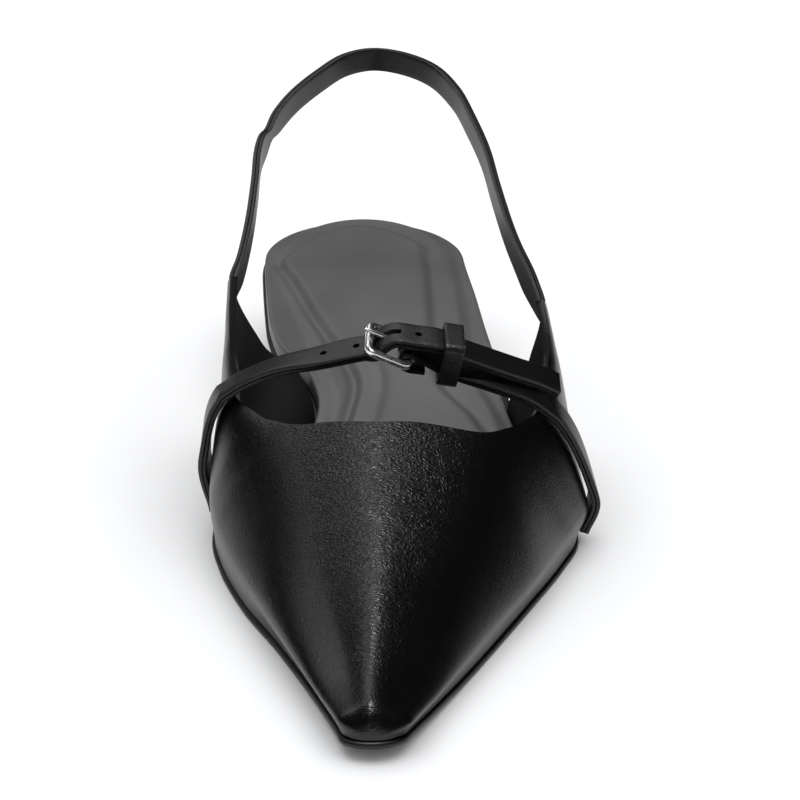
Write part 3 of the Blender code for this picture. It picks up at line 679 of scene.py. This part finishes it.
def node(tree, kind, inputs=None, **settings):
    """A shader node with its settings, and its inputs set to values or joined to sockets."""
    made = tree.nodes.new(kind)
    for name, value in settings.items():
        setattr(made, name, value)
    for name, value in (inputs or {}).items():
        if isinstance(value, bpy.types.NodeSocket):
            tree.links.new(value, made.inputs[name])
        else:
            made.inputs[name].default_value = value
    return made


def ramp(tree, value, low, high):
    """Goes smoothly from 0 at low to 1 at high."""
    made = node(tree, "ShaderNodeMapRange", {"Value": value, "From Min": low, "From Max": high},
                interpolation_type="SMOOTHSTEP")
    return made.outputs["Result"]


def calc(tree, operation, first, second=0.0):
    made = node(tree, "ShaderNodeMath", {0: first, 1: second}, operation=operation)
    return made.outputs[0]


def make_grain_group():
    """Fine wrinkles and pores of smooth leather. Height is in metres; Tint And Crease Shade runs round 1
    and is a random cloudy tint plus painted shade that darkens the wrinkle valleys.
    """
    tree = bpy.data.node_groups.new("leather_grain", "ShaderNodeTree")
    for label in ("Wrinkles", "Wrinkle Size", "Pores"):
        tree.interface.new_socket(label, in_out="INPUT", socket_type="NodeSocketFloat")
    for label in ("Height", "Tint And Crease Shade"):
        tree.interface.new_socket(label, in_out="OUTPUT", socket_type="NodeSocketFloat")
    given = node(tree, "NodeGroupInput").outputs
    out = node(tree, "NodeGroupOutput").inputs
    place = node(tree, "ShaderNodeTexCoord").outputs["Object"]
    rate = calc(tree, "DIVIDE", 1.0, given["Wrinkle Size"])
    squeeze = node(tree, "ShaderNodeMapping", {"Vector": place, "Scale": WRINKLE_STRETCH}).outputs[0]
    drift = node(tree, "ShaderNodeTexNoise", {"Vector": place, "Scale": 260.0, "Detail": 1.0})
    bend = node(tree, "ShaderNodeVectorMath", {0: drift.outputs["Color"], 1: (WRINKLE_DRIFT,) * 3},
                operation="MULTIPLY").outputs[0]
    moved = node(tree, "ShaderNodeVectorMath", {0: squeeze, 1: bend}, operation="ADD").outputs[0]
    folds = node(tree, "ShaderNodeTexNoise",
                 {"Vector": moved, "Scale": rate, "Detail": 1.5, "Roughness": 0.55})
    ridge = calc(tree, "ABSOLUTE", calc(tree, "SUBTRACT", folds.outputs["Fac"], 0.5))
    valley = calc(tree, "SUBTRACT", ramp(tree, ridge, 0.0, 0.19), 1.0)
    wrinkle = calc(tree, "MULTIPLY", valley, given["Wrinkles"])
    cells = node(tree, "ShaderNodeTexVoronoi", {"Vector": place, "Scale": PORES_PER_METRE})
    pit = calc(tree, "SUBTRACT", ramp(tree, cells.outputs["Distance"], 0.0, 0.45), 1.0)
    pore = calc(tree, "MULTIPLY", pit, given["Pores"])
    deep = calc(tree, "MULTIPLY", wrinkle, WRINKLE_DEPTH)
    fine = calc(tree, "MULTIPLY", pore, PORE_DEPTH)
    tree.links.new(calc(tree, "ADD", deep, fine), out["Height"])
    cloud = node(tree, "ShaderNodeTexNoise", {"Vector": place, "Scale": 45.0, "Detail": 3.0})
    shade = calc(tree, "MULTIPLY_ADD", cloud.outputs["Fac"], 0.30)
    shade.node.inputs[2].default_value = 0.85
    # The random cloudy tint, darkened in the wrinkle valleys as painted shade
    tree.links.new(calc(tree, "ADD", shade, calc(tree, "MULTIPLY", wrinkle, 0.25)), out["Tint And Crease Shade"])
    return tree


def new_material(name):
    material = bpy.data.materials.new(name)
    material.use_nodes = True
    tree = material.node_tree
    return material, tree, tree.nodes["Principled BSDF"]


def set_constants(shader, **values):
    for label, value in values.items():
        shader.inputs[label.replace("_", " ")].default_value = value


def make_leather(name, colour, roughness, wrinkles=0.0, wrinkle_size=0.0007, pores=1.0, specular=0.5,
                 masked=False):
    """A dyed smooth leather. A masked one reads how wrinkled it is from the piece itself."""
    material, tree, shader = new_material(name)
    grain = node(tree, "ShaderNodeGroup", node_tree=grain_group)
    grain.inputs["Wrinkle Size"].default_value = wrinkle_size
    grain.inputs["Pores"].default_value = pores
    grain.inputs["Wrinkles"].default_value = wrinkles
    if masked:
        mask = node(tree, "ShaderNodeAttribute", attribute_name="wrinkled").outputs["Fac"]
        tree.links.new(calc(tree, "MULTIPLY", mask, wrinkles), grain.inputs["Wrinkles"])
    # The base colour falls towards DARK_SHARE of the dye with the random cloudy tint and, as painted
    # shade, in the wrinkle valleys
    dark = tuple(DARK_SHARE * part for part in colour)
    tint_and_crease_shade = ramp(tree, grain.outputs["Tint And Crease Shade"], 0.75, 1.25)
    paint = node(tree, "ShaderNodeMix", {0: tint_and_crease_shade, 6: (*dark, 1), 7: (*colour, 1)}, data_type="RGBA")
    tree.links.new(paint.outputs[2], shader.inputs["Base Color"])
    gloss = node(tree, "ShaderNodeMapRange",
                 {"Value": grain.outputs["Tint And Crease Shade"], "From Min": 0.7, "From Max": 1.3,
                  "To Min": roughness + ROUGHER, "To Max": roughness - SMOOTHER})
    tree.links.new(gloss.outputs["Result"], shader.inputs["Roughness"])
    bump = node(tree, "ShaderNodeBump",
                {"Height": grain.outputs["Height"], "Strength": 1.0, "Distance": 1.0})
    tree.links.new(bump.outputs["Normal"], shader.inputs["Normal"])
    set_constants(shader, Specular_IOR_Level=specular)
    return material


grain_group = make_grain_group()
LEATHER = make_leather("black_calf_leather", BLACK_DYE, 0.25, wrinkles=1.0, wrinkle_size=0.00072,
                       masked=True)
STRAP_LEATHER = make_leather("black_strap_leather", BLACK_DYE, 0.34, wrinkles=0.25)
LINING = make_leather("black_lining", LINING_DYE, 0.60, wrinkles=0.15, pores=1.5, specular=0.35)
# The cut edges: edge paint, lightened to a painted rim highlight
EDGE = make_leather("edge_paint_and_rim_highlight", EDGE_PAINT_AND_RIM_HIGHLIGHT, 0.22)
FOOTBED = make_leather("satin_footbed", FOOTBED_DYE, 0.42, wrinkles=0.10, wrinkle_size=0.0009, pores=0.6,
                       specular=0.4)
SOLE_RUBBER = make_leather("black_sole", SOLE_BLACK, 0.42, pores=1.5)
HEEL_LEATHER = make_leather("black_heel_cover", BLACK_DYE, 0.30, wrinkles=0.15, wrinkle_size=0.0009)


def make_metal():
    """Polished nickel with faint brush marks."""
    material, tree, shader = new_material("polished_nickel")
    place = node(tree, "ShaderNodeTexCoord").outputs["Object"]
    marks = node(tree, "ShaderNodeTexNoise", {"Vector": place, "Scale": 900.0, "Detail": 2.0})
    gloss = node(tree, "ShaderNodeMapRange",
                 {"Value": marks.outputs["Fac"], "To Min": 0.22, "To Max": 0.34})
    tree.links.new(gloss.outputs["Result"], shader.inputs["Roughness"])
    bump = node(tree, "ShaderNodeBump",
                {"Height": marks.outputs["Fac"], "Strength": 0.2, "Distance": 0.00004})
    tree.links.new(bump.outputs["Normal"], shader.inputs["Normal"])
    set_constants(shader, Metallic=1.0, Base_Color=NICKEL)
    return material


METAL = make_metal()


# The shoe's pieces

def make_upper():
    """The vamp and both wings as one skin, given its wall, with rounded cut edges."""
    wing, throat = 18, 56
    vamp, side = 84, 44
    across_cells = 2 * wing + throat
    along_cells = vamp + side
    front = LENGTH - SOLE_LEDGE

    def place_of(column):
        if column <= wing:
            return 2 * column / wing
        if column >= wing + throat:
            return 4 + 2 * (column - wing - throat) / wing
        return 2 + 2 * (column - wing) / throat

    wrinkled = []

    def spot(across, along):
        column = round(across * across_cells)
        row = round(along * along_cells)
        place = place_of(column)
        share = min(max((place - 2) / 2, 0.0), 1.0)
        end = follow(THROAT, "across", "along", share) * LENGTH
        if row <= vamp:
            station = mix(front, end, (row / vamp) ** 1.5)
        else:
            rear = MEDIAL_WING_REAR if place < RIDGE_PLACE else LATERAL_WING_REAR
            station = mix(end, rear, (row - vamp) / side)
        centre = 1 - smooth(*GRAIN_REACH, abs(place - RIDGE_PLACE))
        toe = 1 - GRAIN_TOE_LOSS * smooth(*GRAIN_TOE, station)
        wrinkled.append(GRAIN_LEAST + (1 - GRAIN_LEAST) * centre * toe)
        return upper_point(station, place)

    piece = sheet("upper_skin", across_cells, along_cells, spot)
    mark(piece, "wrinkled", wrinkled)
    edit(piece)
    bpy.ops.mesh.select_all(action="DESELECT")
    leave_edit()
    for face in piece.data.polygons:
        column = face.index % across_cells + 0.5
        row = face.index // across_cells + 0.5
        face.select = row > vamp and wing < column < wing + throat
    bpy.ops.object.mode_set(mode="EDIT")
    bpy.ops.mesh.delete(type="FACE")
    bpy.ops.mesh.select_all(action="SELECT")
    bpy.ops.mesh.remove_doubles(threshold=MERGE)
    leave_edit()
    top = max(piece.data.polygons, key=lambda face: face.center.z)
    if top.normal.z < 0:
        edit(piece)
        bpy.ops.mesh.flip_normals()
        leave_edit()
    wall = piece.modifiers.new("wall", "SOLIDIFY")
    wall.thickness = UPPER_WALL
    wall.offset = -1
    wall.use_even_offset = True
    wall.material_offset = 1
    wall.material_offset_rim = 2
    rim = piece.modifiers.new("rim", "BEVEL")
    rim.width = EDGE_RADIUS
    rim.segments = 3
    rim.limit_method = "ANGLE"
    rim.angle_limit = math.radians(60)
    rim.use_clamp_overlap = True
    for material in (LEATHER, LINING, EDGE):
        piece.data.materials.append(material)
    apply_modifiers(piece)
    bpy.ops.object.shade_smooth_by_angle(angle=math.radians(50))
    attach(piece, "root")
    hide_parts("upper")


def make_outsole():
    """The thin sole with its rounded edge."""
    low_edge, high_edge = edge_profile(SOLE_EDGE_RADIUS, 3)

    def place(across, along, inset, face, height):
        station = mix(inset, LENGTH - inset, spread(along))
        medial, lateral = sole_edges(station, inset)
        base = sole_underside(station) + (OUTSOLE_THICKNESS if face == "high" else 0)
        return place_at(mix(medial, lateral, across), station, base + height)

    piece = layer("sole", 10, 150, low_edge, high_edge, place)
    finish_piece(piece, "outsole", [SOLE_RUBBER])


def footbed_relief(side, station):
    """The moulded steps of the footbed: a heel pad and, inside it, two arch terraces."""
    share = station / LENGTH
    if share > BED_END[1]:
        return 0.0

    def line(column):
        return follow(BED, "along", column, share) * BALL_WIDTH

    rear = PAD_REAR + PAD_REAR_CURVE * side * side
    fade = 1 - smooth(*BED_END, share)

    def past(edge):
        return smooth(-STEP_SOFTNESS, STEP_SOFTNESS, edge)

    inside = past(station - rear) * past(side - line("pad")) * (1 - past(side - line("outer")))
    terrace = past(side - line("arch")) * (1 - past(side - line("rim")))
    groove = bump_at(side, line("pad"), GROOVE_REACH) * smooth(*PAD_GROOVE_START, share)
    outer = bump_at(side, line("outer"), OUTER_GROOVE_REACH) * smooth(*OUTER_GROOVE_START, share)
    groove += OUTER_GROOVE_SHARE * outer
    crease = CREASE_SHARE * bump_at(side, line("inner"), GROOVE_REACH) * smooth(*CREASE_START, share)
    return fade * (PAD_RISE * inside + TERRACE_RISE * (terrace + crease) - GROOVE_DEPTH * groove)


def make_insole():
    """The footbed, inside the wall of the upper in the forepart."""
    low_edge, high_edge = edge_profile(INSOLE_EDGE_RADIUS, 3)

    def place(across, along, inset, face, height):
        station = mix(INSOLE_REVEAL + inset, LENGTH - INSOLE_TOE_INSET - inset, spread(along))
        medial, lateral = sole_edges(station, insole_inset(station) + inset, INSOLE_TOE_INSET + inset)
        side = mix(medial, lateral, across)
        if face == "low":
            return place_at(side, station, feather_height(station) + height)
        return place_at(side, station, insole_top(side, station) + height + footbed_relief(side, station)
                        * smooth(0.0, 0.10, min(across, 1 - across)))

    piece = layer("footbed", 90, 260, low_edge, high_edge, place)
    finish_piece(piece, "insole", [FOOTBED])


def heel_layer(name, node_name, material, bottom, top):
    """A layer of the heel: bottom and top give a height, and how far down the heel it is."""
    low_edge, high_edge = edge_profile(EDGE_RADIUS, 2)

    def place(across, along, inset, face, height):
        level = bottom if face == "low" else top
        base, down = level
        setback = HEEL_INSET + HEEL_TAPER * down + inset
        breast = HEEL_BREAST - HEEL_BREAST_LEAN * down - inset
        station = mix(setback, breast, 1 - math.cos(math.pi / 2 * along))
        medial, lateral = sole_edges(station, setback)
        dish = HEEL_BREAST_DISH * (1 - (2 * across - 1) ** 2) * smooth(0.5 * breast, breast, station)
        station -= dish
        return place_at(mix(medial, lateral, across), station, base(station) + height)

    piece = layer(name, 16, 48, low_edge, high_edge, place)
    finish_piece(piece, node_name, [material], angle=50)


def make_heel():
    """The covered heel on its top-lift."""
    tip_share = TIP_THICKNESS / HEEL_LIFT
    heel_layer("heel_top_lift", "heel_tip", SOLE_RUBBER,
               (lambda s: 0.0, 1.0), (lambda s: TIP_THICKNESS, 1.0 - tip_share))
    heel_layer("covered_heel", "heel_block", HEEL_LEATHER,
               (lambda s: TIP_THICKNESS + CLEARANCE, 1.0 - tip_share),
               (lambda s: sole_underside(s) - CLEARANCE, 0.0))


def on_upper(station, place, lift):
    normal = upper_normal(station, place)
    return upper_point(station, place) + normal * lift, normal


def strap_faces(route, centre):
    """The directions that a strap's outer face looks, level and away from a centre line."""
    faces = []
    for i in range(len(route)):
        ahead = heading(route, i)
        outward = Vector((ahead.y, -ahead.x, 0)).normalized()
        faces.append(outward if outward.dot(route[i] - centre) > 0 else -outward)
    return faces


def make_slingback():
    """The strap round the heel, from one wing's rear corner to the other's."""
    def height(station):
        return SLING_RISE - SLING_FALL * station

    def root(rear, place):
        """Where a leg starts, behind the top corner of a wing and in line with its wall."""
        turn = -1 if place > 3 else 1
        corner, _ = on_upper(rear, place, -UPPER_WALL / 2)
        lower, _ = on_upper(rear, place - SLING_ROOT_SPAN * turn, -UPPER_WALL / 2)
        upward = (corner - lower).normalized()
        start = corner - upward * SLING_WIDTH / 2 + Vector((0, CLEARANCE + 3 * STRAP_EASE, 0))
        return start, upward.cross(Vector((0, turn, 0))).normalized()

    medial, medial_out = root(MEDIAL_WING_REAR, 2)
    lateral, lateral_out = root(LATERAL_WING_REAR, 4)
    free = [place_at(row.side * BALL_WIDTH, row.along * LENGTH, height(row.along * LENGTH))
            for row in SLING_ROUTE]
    settle = Vector((0, SLING_SETTLE, 0))
    steps = 9
    route = smooth_route([medial, medial + settle] + free + [lateral + settle, lateral], steps)
    faces = strap_faces(route, place_at(0, 0.17 * LENGTH, 0))
    blend = 2 * steps
    for n in range(blend):
        share = smooth(0, 1, n / blend)
        faces[n] = medial_out.lerp(faces[n], share)
        faces[-1 - n] = lateral_out.lerp(faces[-1 - n], share)

    def swell(i):
        """The elastic gathers the inner leg behind the heel, and its joint thickens the outer leg."""
        station = HEEL_CENTRE - route[i].y
        if route[i].x < 0:
            neck = GATHER_SQUEEZE * bump_at(station, GATHER_STATION, GATHER_REACH)
            below = GATHER_BULGE * bump_at(station, BULGE_STATION, BULGE_REACH)
            return 1 - neck + below
        return 1 + JOINT_SWELL * bump_at(station, JOINT_STATION, JOINT_REACH)

    piece = ribbon("heel_strap", route, faces, lambda i: SLING_WIDTH * swell(i),
                   lambda i: SLING_THICKNESS, strap_profile(2 * SEAM_DEPTH / SLING_WIDTH))
    finish_piece(piece, "slingback_strap", [STRAP_LEATHER])


def rolled_axes(tilt):
    """Along a strap to the lateral side, towards the toe, and up from its face. Its face tilts
    down to the lateral side and rolls forward to the toe."""
    run = Vector((math.cos(tilt), 0, -math.sin(tilt)))
    rise = Vector((math.sin(tilt), 0, math.cos(tilt)))
    toe = Vector((0, -1, 0))
    return (run, toe * math.cos(STRAP_ROLL) - rise * math.sin(STRAP_ROLL),
            rise * math.cos(STRAP_ROLL) + toe * math.sin(STRAP_ROLL))


def buckle_place(along, up, across=0.0):
    """A point by the buckle: along the strap to the lateral side, up from it, and to the toe."""
    middle = place_at(BUCKLE_SIDE, BUCKLE_STATION, feather_height(BUCKLE_STATION) + BUCKLE_CREST)
    run, toe, rise = rolled_axes(BUCKLE_TILT)
    return middle + run * along + rise * up + toe * across


def over_foot(route):
    """The directions that the outer face of a strap over the foot looks."""
    faces = []
    for i in range(len(route)):
        ahead = heading(route, i)
        roll = STRAP_ROLL * smooth(*ROLL_START, route[i].x)
        level = ahead.cross(Vector((0, 1, 0))).normalized()
        faces.append(level * math.cos(roll) + Vector((0, -1, 0)) * math.sin(roll))
    return faces


def wall_stretch(foot_station, top_station, foot_place, top_place):
    """The stretch of an instep strap on the wall of the upper, from its foot to the top line."""
    count = 27
    stretch = []
    for n in range(count + 1):
        share = n / count
        station = mix(foot_station, top_station, share)
        ease = STRAP_EASE * (2 + 4 * smooth(0.6, 1.0, share))
        lift = CLEARANCE + ease + STRAP_THICKNESS / 2 + STRAP_BOW * math.sin(math.pi * share) ** 2
        stretch.append(on_upper(station, mix(foot_place, top_place, share), lift))
    return stretch


def bar_place(reach, degrees):
    """A point round the buckle's rear bar. At 90 degrees it is above the bar."""
    angle = math.radians(degrees)
    return buckle_place(REAR_BAR + reach * math.cos(angle), reach * math.sin(angle))


def round_profile(count, squareness):
    """A closed round bar's section, squared a little when squareness is over 1."""
    profile = []
    for n in range(count):
        angle = 2 * math.pi * n / count
        x, y = math.cos(angle), math.sin(angle)
        profile.append((math.copysign(abs(x) ** (1 / squareness), x),
                        math.copysign(abs(y) ** (1 / squareness), y)))
    return profile


def make_buckle():
    """The buckle's frame, a bent bar with round corners."""
    half_wide = (STRAP_WIDTH + BUCKLE_BAR) / 2 + BUCKLE_SIDE_ROOM
    ring = rounded_ring(REAR_BAR, half_wide, BUCKLE_CORNER, 12)
    spots = [buckle_place(along, 0, across) for along, across, _ in ring]
    upward = buckle_place(0, 1) - buckle_place(0, 0)
    piece = ribbon("buckle_ring", spots, [upward] * len(spots), lambda i: BUCKLE_BAR,
                   lambda i: BUCKLE_BAR, round_profile(20, 1.5), closed=True)
    finish_piece(piece, "buckle_frame", [METAL], angle=60)


def make_prong():
    """The pin that lies on the front bar and curls round the rear one."""
    front = -REAR_BAR - PRONG_BEND
    spots = [buckle_place(mix(front, REAR_BAR, n / 12), PRONG_BEND) for n in range(12)]
    spots += [bar_place(PRONG_BEND, 90 - 225 * n / 18) for n in range(19)]
    faces = [buckle_place(0, 0, -1) - buckle_place(0, 0)] * len(spots)
    last = len(spots) - 1

    def size(i):
        return PRONG_DIAMETER * (0.45 if i in (0, last) else 1)

    piece = ribbon("buckle_pin", spots, faces, size, size, round_profile(14, 1.0))
    finish_piece(piece, "buckle_prong", [METAL], angle=60)


def across_span(start, end, rows):
    """Points of a strap in the air between two ends: each arches up and shifts to the toe."""
    return [start.lerp(end, row.share) + Vector((0, -row.shift, row.arch)) for row in rows]


def lateral_strap_parts(steps):
    """The buckle strap's stretch on the wall, its route in the air and its fold at the bar."""
    wall = wall_stretch(LATERAL_FOOT, LATERAL_FOOT, LATERAL_FOOT_PLACE, LATERAL_TOP_PLACE)
    fold = [bar_place(FOLD_BEND, 90 + 180 * n / 16) for n in range(17)]
    span = across_span(wall[-1][0], fold[0], LATERAL_SPAN)
    free = smooth_route([wall[-1][0]] + span + [fold[0]], steps)
    return wall, free, fold


def make_lateral_strap():
    """The outer strap, thinned and folded round the buckle's rear bar."""
    steps = 16
    wall, free, fold = lateral_strap_parts(steps)
    back = over_foot(free[::-1])[::-1]
    below = (STRAP_THICKNESS + FOLD_THICKNESS) / 2 + CLEARANCE + 2 * STRAP_EASE
    turned = buckle_place(REAR_BAR + BUCKLE_BAR / 2, -FOLD_BEND)
    last = -1 - steps // 2
    tail = [turned.lerp(free[last] - back[last] * below, n / 6) for n in range(7)]
    route = [spot for spot, _ in wall[:-1]] + free + fold[1:] + tail
    centre = buckle_place(REAR_BAR, 0)
    faces = [out for _, out in wall[:-1]] + back
    faces += [(spot - centre).normalized() for spot in fold[1:]] + [-back[-1]] * len(tail)
    fold_at = len(wall) - 1 + len(free)
    thinning = (fold_at - 2.25 * steps, fold_at - steps / 2)

    def thickness(i):
        return mix(STRAP_THICKNESS, FOLD_THICKNESS, smooth(*thinning, i))

    piece = ribbon("outer_instep_strap", route, faces, lambda i: STRAP_WIDTH, thickness,
                   strap_profile(2 * SEAM_DEPTH / STRAP_WIDTH))
    cut(piece, [slot_cutter(REAR_BAR - 2 * FOLD_BEND, REAR_BAR + FOLD_SLOT)])
    finish_piece(piece, "instep_strap_lateral", [STRAP_LEATHER])


def slot_cutter(start, end):
    """A bar that cuts the prong's slot through a strap, in the buckle's plane."""
    width = PRONG_DIAMETER + 2 * CLEARANCE
    bpy.ops.mesh.primitive_cube_add(size=1)
    cutter = bpy.context.object
    cutter.scale = (end - start, width, SLOT_DEPTH)
    cutter.location = buckle_place((start + end) / 2, SLOT_RISE)
    run, toe, rise = rolled_axes(BUCKLE_TILT)
    cutter.rotation_euler = Matrix((run, -toe, rise)).transposed().to_euler()
    return cutter


def hole_cutter(spot, axis):
    bpy.ops.mesh.primitive_cylinder_add(vertices=28, radius=HOLE_DIAMETER / 2, depth=3 * STRAP_THICKNESS)
    cutter = bpy.context.object
    cutter.location = spot
    cutter.rotation_mode = "QUATERNION"
    cutter.rotation_quaternion = axis.to_track_quat("Z", "Y")
    return cutter


def make_medial_strap():
    """The inner strap, up through the buckle and on over the outer strap."""
    steps = 16
    wall = wall_stretch(MEDIAL_FOOT, MEDIAL_CROSSING, MEDIAL_FOOT_PLACE, MEDIAL_TOP_PLACE)
    under = BUCKLE_BAR / 2 + CLEARANCE + 9 * STRAP_EASE + STRAP_THICKNESS / 2
    over = BUCKLE_BAR / 2 + 2 * CLEARANCE + FOLD_THICKNESS + 3 * STRAP_EASE + STRAP_THICKNESS / 2
    through = [buckle_place(row.along * REAR_BAR, row.under * under + row.over * over)
               for row in THROUGH_BUCKLE]
    through.append(buckle_place(REAR_BAR, over + STRAP_ARCH))
    rise = across_span(wall[-1][0], through[0], MEDIAL_SPAN)
    _, carrier, _ = lateral_strap_parts(4)
    carrier = carrier[::-1]
    outward = over_foot(carrier)
    end = []
    for row in FREE_END:
        i = round(row.share * (len(carrier) - 1))
        lift = STRAP_THICKNESS + CLEARANCE + STRAP_EASE + row.lift
        end.append(carrier[i] + outward[i] * lift + Vector((0, -row.shift, 0)))
    loose = smooth_route([wall[-1][0]] + rise + through + end, steps)
    route = [spot for spot, _ in wall[:-1]] + loose
    faces = [out for _, out in wall[:-1]] + over_foot(loose)
    piece = ribbon("inner_instep_strap", route, faces, lambda i: STRAP_WIDTH, lambda i: STRAP_THICKNESS,
                   strap_profile(2 * SEAM_DEPTH / STRAP_WIDTH))
    holes = [slot_cutter(-PRONG_SLOT_BACK, PRONG_SLOT_FRONT)]
    for offset in HOLE_OFFSETS:
        i = min(range(len(route)), key=lambda n: abs(route[n].x - BUCKLE_SIDE - offset))
        holes.append(hole_cutter(route[i], faces[i]))
    cut(piece, holes)
    finish_piece(piece, "instep_strap_medial", [STRAP_LEATHER])


def make_keeper():
    """A closed loop round both straps, beside the buckle."""
    _, free, _ = lateral_strap_parts(4)
    low = free[-1 - KEEPER_STEPS]
    _, toe, rise = rolled_axes(KEEPER_TILT)
    stack = 2 * STRAP_THICKNESS + CLEARANCE + KEEPER_EASE
    middle = low + rise * (stack - STRAP_THICKNESS) / 2
    half_high = stack / 2 + CLEARANCE + KEEPER_WALL / 2
    half_wide = STRAP_WIDTH / 2 + 2 * CLEARANCE + KEEPER_WALL / 2
    ring = rounded_ring(half_wide, half_high, KEEPER_CORNER, 10)
    spots = [middle + toe * side + rise * up for side, up, _ in ring]
    faces = [toe * math.cos(angle) + rise * math.sin(angle) for _, _, angle in ring]
    piece = ribbon("strap_keeper", spots, faces, lambda i: KEEPER_LENGTH, lambda i: KEEPER_WALL,
                   strap_profile(2 * SEAM_DEPTH / KEEPER_LENGTH), closed=True)
    finish_piece(piece, "keeper_loop", [STRAP_LEATHER])


# Floor, lights and camera

FLOOR_RADIUS = 6
SKY_COLOUR = (0.97, 0.98, 1.0, 1)
SKY_STRENGTH = 0.69

# Each light's place, the point it looks at, its size in metres and its watts
LIGHTS = table("name place aim width depth power mirrored", [
    ("overhead_fill", (0.0, 0.25, 1.5), (0.0, 0.25, 0.0), 2.4, 2.4, 22, False),
    ("wide_softbox", (-0.42, 0.56, 0.93), (-0.02, -0.14, 0.03), 1.30, 0.76, 3.8, True),
    ("ridge_softbox", (0.16, 0.39, 0.98), (0.0, -0.14, 0.03), 0.35, 0.30, 0.45, True),
    ("toe_softbox", (0.02, -0.30, 1.0), (0.0, -0.2, 0.0), 0.14, 0.14, 7.0, True),
])


def make_floor():
    """A wide pale floor."""
    bpy.ops.mesh.primitive_circle_add(vertices=64, radius=FLOOR_RADIUS, fill_type="NGON")
    floor = bpy.context.object
    floor.name = "studio_floor"
    material, tree, shader = new_material("pale_floor")
    place = node(tree, "ShaderNodeTexCoord").outputs["Object"]
    cloud = node(tree, "ShaderNodeTexNoise", {"Vector": place, "Scale": 3.0, "Detail": 2.0})
    paint = node(tree, "ShaderNodeMix",
                 {0: cloud.outputs["Fac"], 6: FLOOR_SHADES[0], 7: FLOOR_SHADES[1]}, data_type="RGBA")
    tree.links.new(paint.outputs[2], shader.inputs["Base Color"])
    set_constants(shader, Roughness=0.9, Specular_IOR_Level=0.1)
    floor.data.materials.append(material)


def add_light(row):
    """A soft area light. It either gives gloss alone or lights without gloss."""
    bpy.ops.object.light_add(type="AREA", location=row.place)
    light = bpy.context.object
    light.name = row.name
    light.data.shape = "RECTANGLE"
    light.data.size = row.width
    light.data.size_y = row.depth
    light.data.energy = row.power
    light.rotation_euler = (Vector(row.aim) - Vector(row.place)).to_track_quat("-Z", "Y").to_euler()
    light.visible_glossy = row.mirrored
    light.visible_diffuse = not row.mirrored


def make_lights():
    """The lights and an even sky, which lights the shoe but shows in no gloss."""
    for row in LIGHTS:
        add_light(row)
    world = bpy.data.worlds.new("studio")
    bpy.context.scene.world = world
    world.use_nodes = True
    back = world.node_tree.nodes["Background"]
    back.inputs["Color"].default_value = SKY_COLOUR
    back.inputs["Strength"].default_value = SKY_STRENGTH
    world.cycles_visibility.glossy = False


CAMERA_PLACE = Vector((-0.050, HEEL_CENTRE - 0.735, 0.256))
CAMERA_PITCH = math.radians(22)
PHOTO_WIDTH = 800
PHOTO_FOCUS = 2166 / PHOTO_WIDTH
PHOTO_CENTRE = (398, 400)
SHOE_CENTRE = (573, 366)
CLOSER = 1.25
SENSOR_WIDTH = 36


def make_camera():
    """The photograph's own camera, turned to the shoe and brought closer by its lens."""
    ahead = Vector((0, math.cos(CAMERA_PITCH), -math.sin(CAMERA_PITCH)))
    right = Vector((1, 0, 0))
    up = right.cross(ahead)
    focus = PHOTO_WIDTH * PHOTO_FOCUS
    aim = (ahead + right * ((SHOE_CENTRE[0] - PHOTO_CENTRE[0]) / focus)
           - up * ((SHOE_CENTRE[1] - PHOTO_CENTRE[1]) / focus)).normalized()
    straight = ahead.to_track_quat("-Z", "Y")
    bpy.ops.object.camera_add(location=CAMERA_PLACE)
    camera = bpy.context.object
    camera.rotation_mode = "QUATERNION"
    camera.rotation_quaternion = ahead.rotation_difference(aim) @ straight
    camera.data.sensor_width = SENSOR_WIDTH
    camera.data.lens = SENSOR_WIDTH * PHOTO_FOCUS * CLOSER
    camera.data.clip_start = 0.01
    bpy.context.scene.camera = camera


for make in (make_outsole, make_insole, make_heel, make_upper, make_slingback, make_buckle, make_prong,
             make_lateral_strap, make_medial_strap, make_keeper, make_floor, make_lights, make_camera):
    make()
bpy.context.scene.view_settings.view_transform = "Standard"
